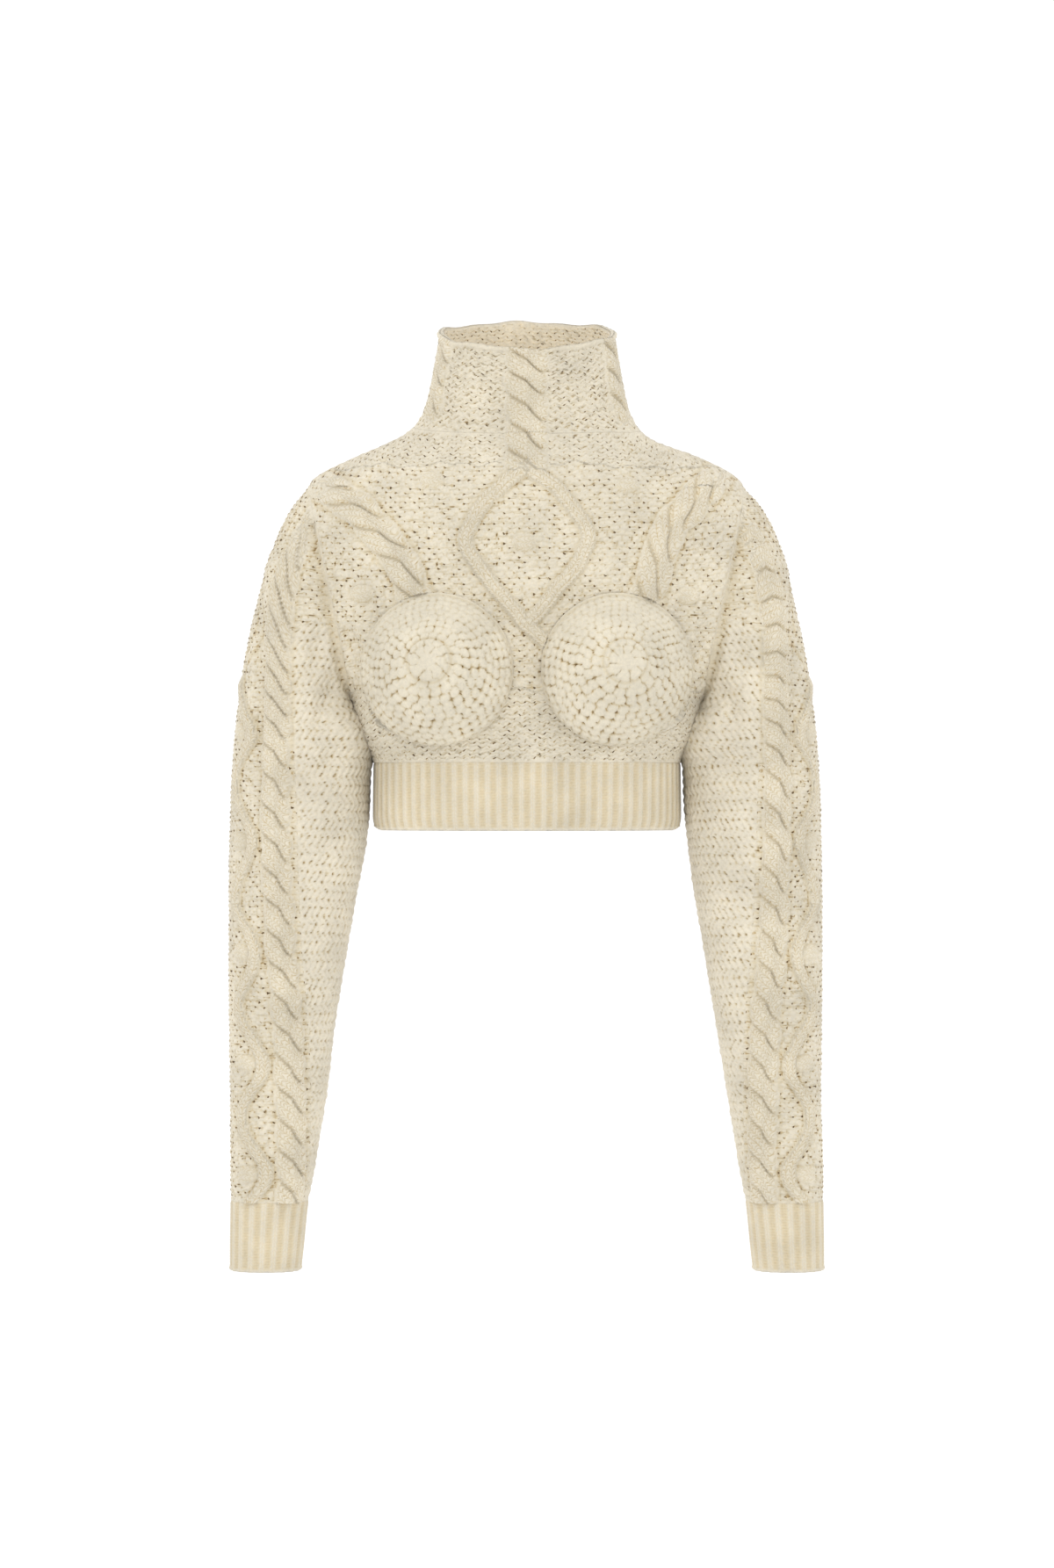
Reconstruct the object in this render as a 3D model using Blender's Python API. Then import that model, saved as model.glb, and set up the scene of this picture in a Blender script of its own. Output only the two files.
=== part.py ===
"""Cropped cable-knit pullover: funnel neck, long sleeves, ribbed hem and cuffs, two round crocheted cups.

It is made the way it is knitted and sewn: front, back, two sleeves, collar, two hem ribs, two cuffs and two
cups. Each piece is a wall of knit, raised on its outer face into cables, ribs and bobbles over a plain inside.

The garment keeps the hollow form it has on a figure that stands along +Z and faces -Y. The origin is on the
middle of the body at the base of the neck. Sizes are in millimetres, and turn to metres where a mesh is made.
"""

import math

import bmesh
import bpy
import numpy as np

MM = 0.001
COLLECTION = "cropped_cable_sweater"

# Driving sizes of the whole garment.
GAP = 0.3  # between pieces at a seam
WALL = 3.5  # a plain stretch of the chunky knit
RIB_WALL = 3.0
HEM_BOTTOM = -338.0
HEM_RIB_TOP = -280.0
ARMPIT = (149.0, -228.0)  # half width and height of the armhole's lowest point
SHOULDER = (189.0, -38.0)  # half width and height of the armhole's highest point
SHOULDER_ROW = -52.0  # height of the front's middle on the ring that passes through the shoulder point
ARMHOLE_DEPTH = 59.0  # half of the armhole's front-to-back size
ARMHOLE_ROUNDNESS = 2.2
COLLAR_TOP = 84.0
CUP_CENTRE = (76.5, -201.0)
CUP_RADIUS = 63.5
CUP_HEIGHT = 40.0
CUP_WALL = 3.0
CUP_GAP = 0.6  # along the front's normals, so that no facet comes nearer than a seam's gap

# Cables, bobbles and ribs.
ROPE_RISE = 5.4
ROPE_GROOVE = 0.8
STRAND_RISE = 4.2
STRAND_HALF_WIDTH = 9.0
BOBBLE_RISE = 6.0
ARMHOLE_FADE = 12.0  # cables sink to the plain wall over this distance from the armhole
BOBBLE_RADIUS = 11.0
ROPE_FADE = 20.0  # a rope rises out of the plain knit over this distance
RIB_RISE = 2.2
BOSS_RADIUS = 16.0  # the cup's low, flat centre, where its crochet starts
BOSS_RISE = 3.5
BOSS_CENTRE = (81.0, -195.0)
RIB_PITCH = 9.5
CUFF_RIBS = 19
ARC_POINTS = 721  # points along which the length of a ring is measured


def table(names, *rows):
    """Named columns of numbers, one row for each section."""
    return dict(zip(names, np.array(rows, float).T))


# Rings of the body and collar, from the hem up. Each is named by the height of its front's middle.
BODY = table(
    ("front_z", "side_z", "back_z", "half_width", "front_depth", "back_depth", "roundness"),
    (-338, -338, -338, 130.0, 86, 80, 2.35),  # hem's cast-off edge
    (-326, -326, -326, 132.0, 89, 83, 2.35),
    (-280, -280, -280, 131.5, 92, 86, 2.35),  # top of the rib
    (-256, -256, -256, 135.5, 95, 89, 2.35),  # under the bust
    (-228, -228, -228, 149.0, 99, 94, 2.35),  # armpit
    (-180, -180, -180, 160.0, 103, 99, 2.30),
    (-130, -130, -130, 170.0, 104, 101, 2.25),
    (-86, -78, -76, 181.0, 100, 99, 2.15),
    (-52, -38, -32, 189.0, 91, 92, 2.10),  # shoulder point
    (-36, -21, -13, 159.0, 84, 85, 2.05),
    (-20, -7, 3, 127.0, 76, 77, 2.05),
    (-8, 3, 13, 106.5, 70.5, 71, 2.05),
    (0, 10, 22, 97.5, 67.5, 67.5, 2.05),  # neck seam
    (14, 25, 37, 88.5, 64, 63.5, 2.05),
    (34, 46, 59, 83.0, 62, 61.5, 2.05),
    (60, 73, 87, 78.5, 61, 60.5, 2.05),
    (84, 98, 112, 75.0, 59.5, 59, 2.05),  # collar's top edge
)

# Rings of a sleeve, from the armhole to the cuff's edge. Outer and inner are where the ring's plane crosses
# the sleeve's silhouette. rope_turn is the angle, from the outer line round the front, of the main rope cable.
SLEEVE = table(
    ("outer_x", "outer_z", "inner_x", "inner_z", "half_depth", "middle_y", "rope_turn"),
    (189, -38, 149, -228, 59, 0, 44),  # armhole
    (211.5, -76, 151.0, -230.5, 60.0, 0, 47),
    (228, -122, 151.2, -234, 60.0, 0, 53),
    (239, -167, 150.5, -240, 59.5, 0, 60),
    (247, -213, 145.5, -249, 58.5, 0, 66),
    (252.5, -261, 139.0, -266, 57.5, 0, 70),
    (255.5, -306, 136.3, -304, 56.0, -1, 73),
    (257, -372, 142.5, -372, 52.0, -3, 78),
    (257, -441, 153.5, -441, 47.5, -5, 86),
    (256.5, -509, 164.5, -509, 43.0, -7, 97),
    (255.5, -577, 175.5, -577, 38.0, -9, 108),
    (255, -640, 186.0, -640, 33.0, -11, 121),
    (254.5, -657, 189.5, -657, 31.5, -12, 124),  # top of the cuff
    (255, -700, 194.0, -700, 28.5, -13, 124),
    (255, -717, 196.0, -717, 27.5, -13, 124),  # cuff's cast-off edge
)
SLEEVE_CUFF_ROW = 12

# Cables on the yoke, as seen from the front: half width, height.
YOKE_ROPE = np.array([(172, -48), (152, -63), (125, -90), (106, -114), (102, -140)], float)
YOKE_ROPE_WIDTH = 37.0
YOKE_ROPE_PITCH = 33.0
DIAMOND = np.array([(0, -30), (24, -48), (46, -76), (52, -91), (46, -107), (24, -136), (1, -163)], float)
DIAMOND_TAIL = np.array([(1, -163), (9, -172), (16, -180)], float)
YOKE_BOBBLES = ((-2, -95), (-81, -41), (85, -45), (-141, -137), (137, -139))

COLLAR_ROPE_WIDTH = 44.0
COLLAR_ROPE_PITCH = 29.0
COLLAR_ROPE_END = -36.0  # the rope runs on below the neck seam to the diamond
COLLAR_CELLS = 12
SIDE_ROPE_WIDTH = 26.0
SIDE_ROPE_ACROSS = 0.76

SLEEVE_ROPE_WIDTH = 33.0
SLEEVE_ROPE_PITCH = 33.0
SLEEVE_ROPE_START = 85.0  # distance down the sleeve
WAVE_OFFSET = -34.0  # middle of the waving strand, round the sleeve from the rope
WAVE_SWING = 11.0
WAVE_PITCH = 95.0
WAVE_HALF_WIDTH = 8.0
WAVE_FIRST = 226.0  # distance down the sleeve of the first place where the strand comes nearest the rope


def curve(knots, values, at):
    """A smooth curve through the knots that never overshoots: cubic pieces whose slopes are limited means."""
    step = np.diff(knots)
    rise = np.diff(values) / step
    before = rise[:-1]
    after = rise[1:]
    turns = before * after <= 0
    weight_before = 2 * step[1:] + step[:-1]
    weight_after = step[1:] + 2 * step[:-1]
    safe_before = np.where(turns, 1.0, before)
    safe_after = np.where(turns, 1.0, after)
    mean = (weight_before + weight_after) / (weight_before / safe_before + weight_after / safe_after)
    slope = np.concatenate([rise[:1], np.where(turns, 0.0, mean), rise[-1:]])
    piece = np.clip(np.searchsorted(knots, at, side="right") - 1, 0, len(knots) - 2)
    width = step[piece]
    t = (at - knots[piece]) / width
    start = values[piece] * (1 + 2 * t) * (1 - t) ** 2 + slope[piece] * width * t * (1 - t) ** 2
    end = values[piece + 1] * t**2 * (3 - 2 * t) - slope[piece + 1] * width * t**2 * (1 - t)
    return start + end


def signed_power(value, power):
    return np.sign(value) * np.abs(value) ** power


def spread(stops, cells):
    """Positions from each stop to the next, divided into as many cells as given for that stretch."""
    runs = [np.linspace(a, b, n, endpoint=False) for a, b, n in zip(stops[:-1], stops[1:], cells)]
    return np.concatenate(runs + [[stops[-1]]])


# --- the body's form ------------------------------------------------------------------------------


def armhole_x(z):
    """Half width of the armhole's plane at a height."""
    lean = (SHOULDER[0] - ARMPIT[0]) / (SHOULDER[1] - ARMPIT[1])
    return ARMPIT[0] + lean * (z - ARMPIT[1])


def armhole_half_depth(z):
    """Half the armhole's front-to-back size at a height: a rounded oval between armpit and shoulder point."""
    middle = (ARMPIT[1] + SHOULDER[1]) / 2
    half = (SHOULDER[1] - ARMPIT[1]) / 2
    off = np.clip(np.abs(z - middle) / half, 0, 1)
    return ARMHOLE_DEPTH * (1 - off**ARMHOLE_ROUNDNESS) ** (1 / ARMHOLE_ROUNDNESS)


def body_ring(row, face):
    """Sizes of the ring's front half (face -1) or back half (face 1) at each row, as the panel is cut there.

    Between armpit and shoulder point the full ring is wider than the panel, which stops at the armhole plane.
    """
    size = {name: curve(BODY["front_z"], BODY[name], row) for name in BODY}
    depth = size["front_depth"] if face < 0 else size["back_depth"]
    middle_z = row if face < 0 else size["back_z"]
    tilt = middle_z - size["side_z"]
    cut = (size["side_z"] > ARMPIT[1]) & (size["side_z"] < SHOULDER[1])
    edge_depth = np.zeros_like(depth)
    for _ in range(12):
        edge_z = size["side_z"] + tilt * edge_depth / depth
        edge_depth = np.where(cut, armhole_half_depth(edge_z), 0.0)
    power = size["roundness"]
    reach = (1 - (edge_depth / depth) ** power) ** (1 / power)
    edge_x = np.where(cut, armhole_x(edge_z), size["half_width"])
    return {
        "side_z": size["side_z"],
        "tilt": tilt,
        "depth": depth,
        "power": power,
        "width": edge_x / reach,
        "limit": np.arcsin(np.clip(reach ** (power / 2), 0, 1)),
        "cut": cut,
    }


def bust(x, z):
    """How far the front is pushed forwards: two domes, round and steep below, easier above."""
    across = (np.abs(x) - CUP_CENTRE[0]) / CUP_RADIUS
    up = (z - CUP_CENTRE[1]) / CUP_RADIUS
    radius = np.clip(np.hypot(across, up), 0, 1)
    above = 0.5 + 0.5 * np.clip(up / 0.8, -1, 1)
    steep = (1 - radius**2.2) ** 0.7
    easy = (1 - radius**2.0) ** 1.1
    return CUP_HEIGHT * (steep * (1 - above) + easy * above)


def body_points(row, across, face):
    """Points of the body's surface, by the ring's height at the front's middle and from -1 to 1 across."""
    ring = body_ring(row, face)
    angle = across * ring["limit"]
    x = ring["width"] * signed_power(np.sin(angle), 2 / ring["power"])
    inwards = np.maximum(np.cos(angle), 0) ** (2 / ring["power"])
    z = ring["side_z"] + ring["tilt"] * inwards
    y = face * ring["depth"] * inwards
    if face < 0:
        y = y - bust(x, z)
    return np.stack([x, y, z], -1)


def across_at(row, x):
    """The front's across value at a given half width."""
    ring = body_ring(row, -1)
    part = np.clip(np.abs(x) / ring["width"], 0, 1)
    return np.sign(x) * np.arcsin(part ** (ring["power"] / 2)) / ring["limit"]


def normals(points, closed=False):
    """Unit normals of a grid of points, from the cross product of its two directions."""
    if closed:
        wrapped = np.concatenate([points[:, -1:], points, points[:, :1]], 1)
        along = np.gradient(wrapped, axis=1)[:, 1:-1]
    else:
        along = np.gradient(points, axis=1)
    cross = np.cross(along, np.gradient(points, axis=0))
    return cross / np.maximum(np.linalg.norm(cross, axis=-1, keepdims=True), 1e-9)


def unit(vectors):
    return vectors / np.maximum(np.linalg.norm(vectors, axis=-1, keepdims=True), 1e-9)


# --- relief: cables, strands and bobbles ----------------------------------------------------------


def nearest_on(path, x, z):
    """Distance along a path, and signed distance from it, of the nearest point to each (x, z)."""
    best = np.full(x.shape, np.inf)
    along = np.zeros(x.shape)
    side = np.zeros(x.shape)
    start = 0.0
    for a, b in zip(path[:-1], path[1:]):
        length = math.dist(a, b)
        way = (b - a) / length
        t = np.clip((x - a[0]) * way[0] + (z - a[1]) * way[1], 0, length)
        dx = x - a[0] - way[0] * t
        dz = z - a[1] - way[1] * t
        distance = np.hypot(dx, dz)
        nearer = distance < best
        best = np.where(nearer, distance, best)
        along = np.where(nearer, start + t, along)
        side = np.where(nearer, distance * np.sign(way[0] * dz - way[1] * dx), side)
        start += length
    return along, side


def rope(off, along, width, pitch, hand):
    """Height of a rope cable: two strands that wind round each other, off the middle and along it.

    Seen from outside, a strand crosses as a sine of the distance along. Its back is round, between grooves.
    """
    part = np.clip(2 * off / width, -1, 1)
    turn = along / pitch - hand * np.arcsin(part) / math.pi
    strand = np.abs(np.sin(math.pi * turn)) ** 0.6
    edge = np.sqrt(1 - np.abs(part) ** 4)
    return np.where(np.abs(off) < width / 2, edge * (ROPE_GROOVE + (ROPE_RISE - ROPE_GROOVE) * strand), 0.0)


def mound(distance, radius, rise):
    """A smooth rise that ends level at the given radius: a squared cosine."""
    return rise * np.cos(math.pi / 2 * np.clip(distance / radius, 0, 1)) ** 2


def front_relief(points):
    """Cables and bobbles of the front, by half width and height."""
    x, z = points[..., 0], points[..., 2]
    on_cup = np.hypot(np.abs(x) - CUP_CENTRE[0], z - CUP_CENTRE[1]) < CUP_RADIUS + 1
    along, side = nearest_on(YOKE_ROPE, np.abs(x), z)
    height = rope(side, along, YOKE_ROPE_WIDTH, YOKE_ROPE_PITCH, 1) * np.clip(along / ROPE_FADE, 0, 1)
    inside_neck = rope(x, z, COLLAR_ROPE_WIDTH, COLLAR_ROPE_PITCH, 1)
    height = np.maximum(height, np.where(z > COLLAR_ROPE_END, inside_neck, 0.0))
    for path in (DIAMOND, DIAMOND * (-1, 1), DIAMOND_TAIL):
        away = np.abs(nearest_on(path, x, z)[1])
        height = np.maximum(height, mound(away, STRAND_HALF_WIDTH, STRAND_RISE))
    for bobble_x, bobble_z in YOKE_BOBBLES:
        away = np.hypot(x - bobble_x, z - bobble_z)
        height = np.maximum(height, mound(away, BOBBLE_RADIUS, BOBBLE_RISE))
    from_armhole = np.clip((armhole_x(z) - np.abs(x)) / ARMHOLE_FADE, 0, 1)
    from_shoulder = np.clip(np.abs(points[..., 1]) / ARMHOLE_FADE - 1, 0, 1)
    return np.where(on_cup, 0.0, height * from_armhole * from_shoulder)


def back_relief(points):
    """One rope cable down the middle of the back."""
    return rope(points[..., 0], points[..., 2], COLLAR_ROPE_WIDTH, COLLAR_ROPE_PITCH, 1)


# --- meshes ---------------------------------------------------------------------------------------


def grid_faces(numbers):
    """Two triangles for each cell of a grid of vertex numbers, always split along the same diagonal."""
    a, b = numbers[:-1, :-1], numbers[:-1, 1:]
    c, d = numbers[1:, 1:], numbers[1:, :-1]
    halves = [np.stack([a, b, c], -1), np.stack([a, c, d], -1)]
    return np.concatenate([half.reshape(-1, 3) for half in halves])


def strip_faces(fine, fine_at, coarse, coarse_at):
    """Triangles between two edges that run side by side, one with more points than the other."""
    faces = []
    i = j = 0
    while i < len(fine) - 1 or j < len(coarse) - 1:
        coarse_left = j < len(coarse) - 1
        if coarse_left and (i == len(fine) - 1 or fine_at[i] >= (coarse_at[j] + coarse_at[j + 1]) / 2):
            faces.append((fine[i], coarse[j], coarse[j + 1]))
            j += 1
        else:
            faces.append((fine[i], coarse[j], fine[i + 1]))
            i += 1
    return np.array(faces)


def knit_material(name, colour, roughness):
    material = bpy.data.materials.new(name)
    material.use_nodes = True
    shader = material.node_tree.nodes["Principled BSDF"]
    shader.inputs["Base Color"].default_value = (*colour, 1.0)
    shader.inputs["Roughness"].default_value = roughness
    shader.inputs["Metallic"].default_value = 0.0
    return material


def solid(name, points, faces, material, collection):
    """One closed body, in metres, with its faces turned outwards."""
    mesh = bpy.data.meshes.new(name)
    mesh.from_pydata((points * MM).tolist(), [], faces.tolist())
    body = bmesh.new()
    body.from_mesh(mesh)
    bmesh.ops.recalc_face_normals(body, faces=body.faces)
    body.to_mesh(mesh)
    body.free()
    mesh.shade_smooth()
    mesh.set_sharp_from_angle(angle=math.radians(35))
    mesh.materials.append(material)
    made = bpy.data.objects.new(name, mesh)
    collection.objects.link(made)
    return made


def wall(name, outer, inner, rows, columns, closed, material, collection):
    """A wall between an outer grid and a coarser inner grid, whose points sit at the listed rows and columns.

    A closed wall is a tube with a rim at each end. An open one is a panel with a rim on its four sides.
    """
    count = outer.shape[0] * outer.shape[1]
    fine = np.arange(count).reshape(outer.shape[:2])
    coarse = count + np.arange(len(rows) * len(columns)).reshape(len(rows), len(columns))
    column_at = np.arange(outer.shape[1])
    coarse_at = np.array(columns)
    if closed:
        fine = np.concatenate([fine, fine[:, :1]], 1)
        coarse = np.concatenate([coarse, coarse[:, :1]], 1)
        column_at = np.append(column_at, outer.shape[1])
        coarse_at = np.append(coarse_at, outer.shape[1])
    faces = [grid_faces(fine), grid_faces(coarse)]
    for end in (0, -1):
        faces.append(strip_faces(fine[end], column_at, coarse[end], coarse_at))
    if not closed:
        row_at = np.arange(outer.shape[0])
        for end in (0, -1):
            faces.append(strip_faces(fine[:, end], row_at, coarse[:, end], np.array(rows)))
    points = np.concatenate([outer.reshape(-1, 3), inner.reshape(-1, 3)])
    return solid(name, points, np.concatenate(faces), material, collection)


# --- front and back -------------------------------------------------------------------------------

CUP_CELLS = 14
CUP_BOTTOM = CUP_CENTRE[1] - CUP_RADIUS
CUP_TOP = CUP_CENTRE[1] + CUP_RADIUS
ROW_STOPS = (HEM_RIB_TOP, CUP_BOTTOM, ARMPIT[1], CUP_TOP, SHOULDER_ROW, 0.0)
FRONT_ROW_CELLS = (2, 4, 10, 12, 6)
BACK_ROW_CELLS = (2, 4, 8, 8, 6)
FRONT_STOPS = (0.0, 0.05, 0.8, 1.0)
FRONT_CELLS = (2, CUP_CELLS, 4)
BACK_STOPS = (0.0, 0.14, 1.0)
BACK_CELLS = (3, 7)
CUP_FIRST_ROW = FRONT_ROW_CELLS[0]
CUP_FIRST_COLUMN = FRONT_CELLS[0]
ROWS_BELOW_CUP = FRONT_ROW_CELLS[0]
ROWS_ABOVE_CUP = 8


def both_sides(half):
    return np.concatenate([-half[:0:-1], half])


def round_to_cups(rows, across):
    """Moves the front's grid so that a square block of its cells fills each cup's circle.

    A block's square is pressed to a disc, and the cells round it share the change until it fades out.
    """
    half = (len(across[0]) - 1) // 2
    row_number, column_number = np.indices(rows.shape)
    column_number = np.abs(column_number - half)
    row_in = np.clip((row_number - CUP_FIRST_ROW) / CUP_CELLS, 0, 1) * 2 - 1
    column_in = np.clip((column_number - CUP_FIRST_COLUMN) / CUP_CELLS, 0, 1) * 2 - 1
    disc_x = CUP_CENTRE[0] + CUP_RADIUS * column_in * np.sqrt(1 - row_in**2 / 2)
    disc_z = CUP_CENTRE[1] + CUP_RADIUS * row_in * np.sqrt(1 - column_in**2 / 2)
    below = (CUP_FIRST_ROW - row_number) / ROWS_BELOW_CUP
    above = (row_number - CUP_FIRST_ROW - CUP_CELLS) / ROWS_ABOVE_CUP
    inside = (CUP_FIRST_COLUMN - column_number) / FRONT_CELLS[0]
    outside = (column_number - CUP_FIRST_COLUMN - CUP_CELLS) / FRONT_CELLS[2]
    fade_rows = 1 - np.clip(np.maximum(below, above), 0, 1)
    fade_columns = 1 - np.clip(np.maximum(inside, outside), 0, 1)
    clamped_rows = np.clip(row_number, CUP_FIRST_ROW, CUP_FIRST_ROW + CUP_CELLS)
    clamped_columns = half + np.clip(column_number, CUP_FIRST_COLUMN, CUP_FIRST_COLUMN + CUP_CELLS)
    share = fade_rows * fade_columns
    home_row = rows[clamped_rows, clamped_columns]
    home_across = across[clamped_rows, clamped_columns]
    moved_rows = rows + share * (disc_z - home_row)
    moved_across = np.abs(across) + share * (across_at(disc_z, disc_x) - home_across)
    return moved_rows, np.sign(across) * moved_across


def panel_directions(points, rows, face):
    """Outward directions of a body panel. On each edge they lie in the plane of that edge's seam."""
    outward = normals(points) * -face
    outward = outward * np.sign(np.sum(outward * np.array([0, face, 0]), -1).mean())
    side_z = curve(BODY["front_z"], BODY["side_z"], rows[:, 0])
    at_armhole = (side_z >= ARMPIT[1] - 0.01) & (side_z <= SHOULDER[1] + 0.01)
    middle = np.array([0.0, 0.0, (ARMPIT[1] + SHOULDER[1]) / 2])
    middle[0] = armhole_x(middle[2])
    for column, hand in ((0, -1), (-1, 1)):
        edge = outward[:, column].copy()
        edge[:, 1] = 0.0
        from_middle = points[:, column] - middle * (hand, 1, 1)
        edge[at_armhole] = from_middle[at_armhole]
        outward[:, column] = unit(edge)
    outward[0, :, 2] = 0.0
    outward[0] = unit(outward[0])
    slope = (points[-1, :, 2].max() - points[-1, :, 2].min()) / np.abs(points[-1, :, 1]).max()
    rise = slope if face > 0 else -slope
    outward[-1, :, 2] = 0.0
    outward[-1] = unit(outward[-1])
    outward[-1, :, 2] = rise * np.abs(outward[-1, :, 1])
    return outward


def seam_clearance(points, face, rows):
    """Moves the panel half a gap away from each seam: at its sides, armholes, hem and neck."""
    cleared = points.copy()
    cleared[..., 1] += face * GAP / 2
    side_z = curve(BODY["front_z"], BODY["side_z"], rows[:, 0])
    at_armhole = (side_z >= ARMPIT[1] - 0.01) & (side_z <= SHOULDER[1] + 0.01)
    cleared[at_armhole, 0, 0] += GAP / 2
    cleared[at_armhole, -1, 0] -= GAP / 2
    cleared[0, :, 2] += GAP / 2
    cleared[-1, :, 2] -= GAP / 2
    return cleared


def body_panel(name, face, row_cells, stops, cells, relief, material, collection):
    """The front or the back: a panel from the hem rib to the neck seam."""
    row_line = spread(ROW_STOPS, row_cells)
    across_line = both_sides(spread(stops, cells))
    rows, across = np.meshgrid(row_line, across_line, indexing="ij")
    if face < 0:
        rows, across = round_to_cups(rows, across)
    points = body_points(rows, across, face)
    outward = panel_directions(points, rows, face)
    points = seam_clearance(points, face, rows)
    outer = points + outward * relief(points)[..., None]
    keep_rows = list(range(0, len(row_line), 2))
    keep_columns = list(range(0, len(across_line), 2))
    inner = (points - WALL * outward)[np.ix_(keep_rows, keep_columns)]
    wall(name, outer, inner, keep_rows, keep_columns, False, material, collection)
    return outer


def cup(name, hand, front_outer, material, collection):
    """A round cup on the front's dome: the front's points under it, moved out, with a low flat centre."""
    half = (front_outer.shape[1] - 1) // 2
    first = half + CUP_FIRST_COLUMN if hand > 0 else half - CUP_FIRST_COLUMN - CUP_CELLS
    outward = normals(front_outer)
    outward = outward * np.sign(-outward[..., 1].mean())
    block = (slice(CUP_FIRST_ROW, CUP_FIRST_ROW + CUP_CELLS + 1), slice(first, first + CUP_CELLS + 1))
    ground = front_outer[block]
    way = outward[block]
    from_boss = np.hypot(ground[..., 0] - hand * BOSS_CENTRE[0], ground[..., 2] - BOSS_CENTRE[1])
    rise = CUP_WALL + BOSS_RISE * np.clip((BOSS_RADIUS - from_boss) / 6 + 0.5, 0, 1)
    back = ground + way * CUP_GAP
    face = ground + way * (CUP_GAP + rise[..., None])
    every = list(range(CUP_CELLS + 1))
    wall(name, face, back, every, every, False, material, collection)


# --- collar and hem -------------------------------------------------------------------------------


def ring_points(row, across, face):
    """Body points where the front half (face -1) and back half (face 1) are chosen point by point."""
    return np.where(face[..., None] < 0, body_points(row, across, -1), body_points(row, across, 1))


def level_directions(points):
    """Outward directions of a tube about the vertical, level all over."""
    outward = normals(points, closed=True)
    outward[..., 2] = 0.0
    outward = unit(outward)
    return outward * np.sign(np.sum(outward[..., :2] * points[..., :2]))


def collar(material, collection):
    """The funnel collar: a tube with a rope cable at the front, the back and each side."""
    row_line = np.linspace(0.0, COLLAR_TOP, COLLAR_CELLS + 1)
    half = spread((0.0, 0.27, 0.62, 0.9, 1.0), (4, 2, 4, 1))
    front = both_sides(half)
    back = -both_sides(spread((0.0, 0.27, 1.0), (4, 6)))[1:-1]
    across_line = np.concatenate([front, back])
    face_line = np.concatenate([-np.ones(len(front)), np.ones(len(back))])
    rows, across = np.meshgrid(row_line, across_line, indexing="ij")
    face = np.broadcast_to(face_line, rows.shape)
    points = ring_points(rows, across, face)
    outward = level_directions(points)
    radii_squared = points[..., 0].max(1) ** 2 + points[..., 1].max(1) ** 2
    quarter = (math.pi / 2 * np.sqrt(radii_squared / 2))[:, None]
    relief = rope(across * quarter, rows, COLLAR_ROPE_WIDTH, COLLAR_ROPE_PITCH, 1)
    side = (np.abs(across) - SIDE_ROPE_ACROSS) * quarter
    side_rope = rope(side, rows, SIDE_ROPE_WIDTH, COLLAR_ROPE_PITCH, np.sign(across))
    relief = np.maximum(relief, np.where(face < 0, side_rope, 0.0))
    slope = (points[..., 2].max(1) - points[..., 2].min(1)) / np.ptp(points[..., 1], 1)
    outward[..., 2] = outward[..., 1] * slope[:, None]
    points[0, :, 2] += GAP / 2
    outer = points + outward * relief[..., None]
    inner_rows = list(range(0, COLLAR_CELLS + 1, 3))
    inner_columns = list(range(0, len(across_line), 2))
    inner = (points - WALL * outward)[np.ix_(inner_rows, inner_columns)]
    wall("collar", outer, inner, inner_rows, inner_columns, True, material, collection)


def hem_rib(name, face, material, collection):
    """Half of the ribbed hem. Every second column of points is a raised rib, the others the troughs."""
    row_line = np.array([HEM_BOTTOM, HEM_BOTTOM + 12, HEM_RIB_TOP])
    fine = np.linspace(-1, 1, ARC_POINTS)
    path = body_points(np.full(ARC_POINTS, HEM_RIB_TOP), fine, face)
    length = np.concatenate([[0], np.cumsum(np.linalg.norm(np.diff(path, axis=0), axis=1))])
    ribs = int(length[-1] / RIB_PITCH)
    across_line = np.interp(np.linspace(0, length[-1], 2 * ribs + 1), length, fine)
    rows, across = np.meshgrid(row_line, across_line, indexing="ij")
    points = body_points(rows, across, face)
    outward = normals(points)
    outward = outward * np.sign(np.sum(outward * np.array([0, face, 0]), -1).mean())
    outward[..., 2] = 0.0
    outward[:, (0, -1), 1] = 0.0
    outward = unit(outward)
    points[..., 1] += face * GAP / 2
    points[-1, :, 2] -= GAP / 2
    raised = np.arange(len(across_line)) % 2 * RIB_RISE
    outer = points + outward * raised[None, :, None]
    inner_columns = sorted(set(range(0, 2 * ribs + 1, 5)) | {2 * ribs})
    inner = (points - RIB_WALL * outward)[np.ix_([0, 2], inner_columns)]
    wall(name, outer, inner, [0, 2], inner_columns, False, material, collection)


# --- sleeves and cuffs ----------------------------------------------------------------------------


def sleeve_stations():
    """Distance of each sleeve row from the armhole, measured down the outer line."""
    steps = np.hypot(np.diff(SLEEVE["outer_x"]), np.diff(SLEEVE["outer_z"]))
    return np.concatenate([[0], np.cumsum(steps)])


def sleeve_ring(at):
    """Sizes of the sleeve's ring at each distance from the armhole."""
    return {name: curve(sleeve_stations(), SLEEVE[name], at) for name in SLEEVE}


def sleeve_points(at, turn, hand):
    """Points of a sleeve's surface. Turn goes from the outer line (0) round the front to the inner line (pi)."""
    ring = sleeve_ring(at)
    power = 2 / ARMHOLE_ROUNDNESS
    out = signed_power(np.cos(turn), power)
    x = (ring["outer_x"] + ring["inner_x"]) / 2 + out * (ring["outer_x"] - ring["inner_x"]) / 2
    z = (ring["outer_z"] + ring["inner_z"]) / 2 + out * (ring["outer_z"] - ring["inner_z"]) / 2
    y = ring["middle_y"] - ring["half_depth"] * signed_power(np.sin(turn), power)
    return np.stack([hand * x, y, z], -1)


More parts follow.
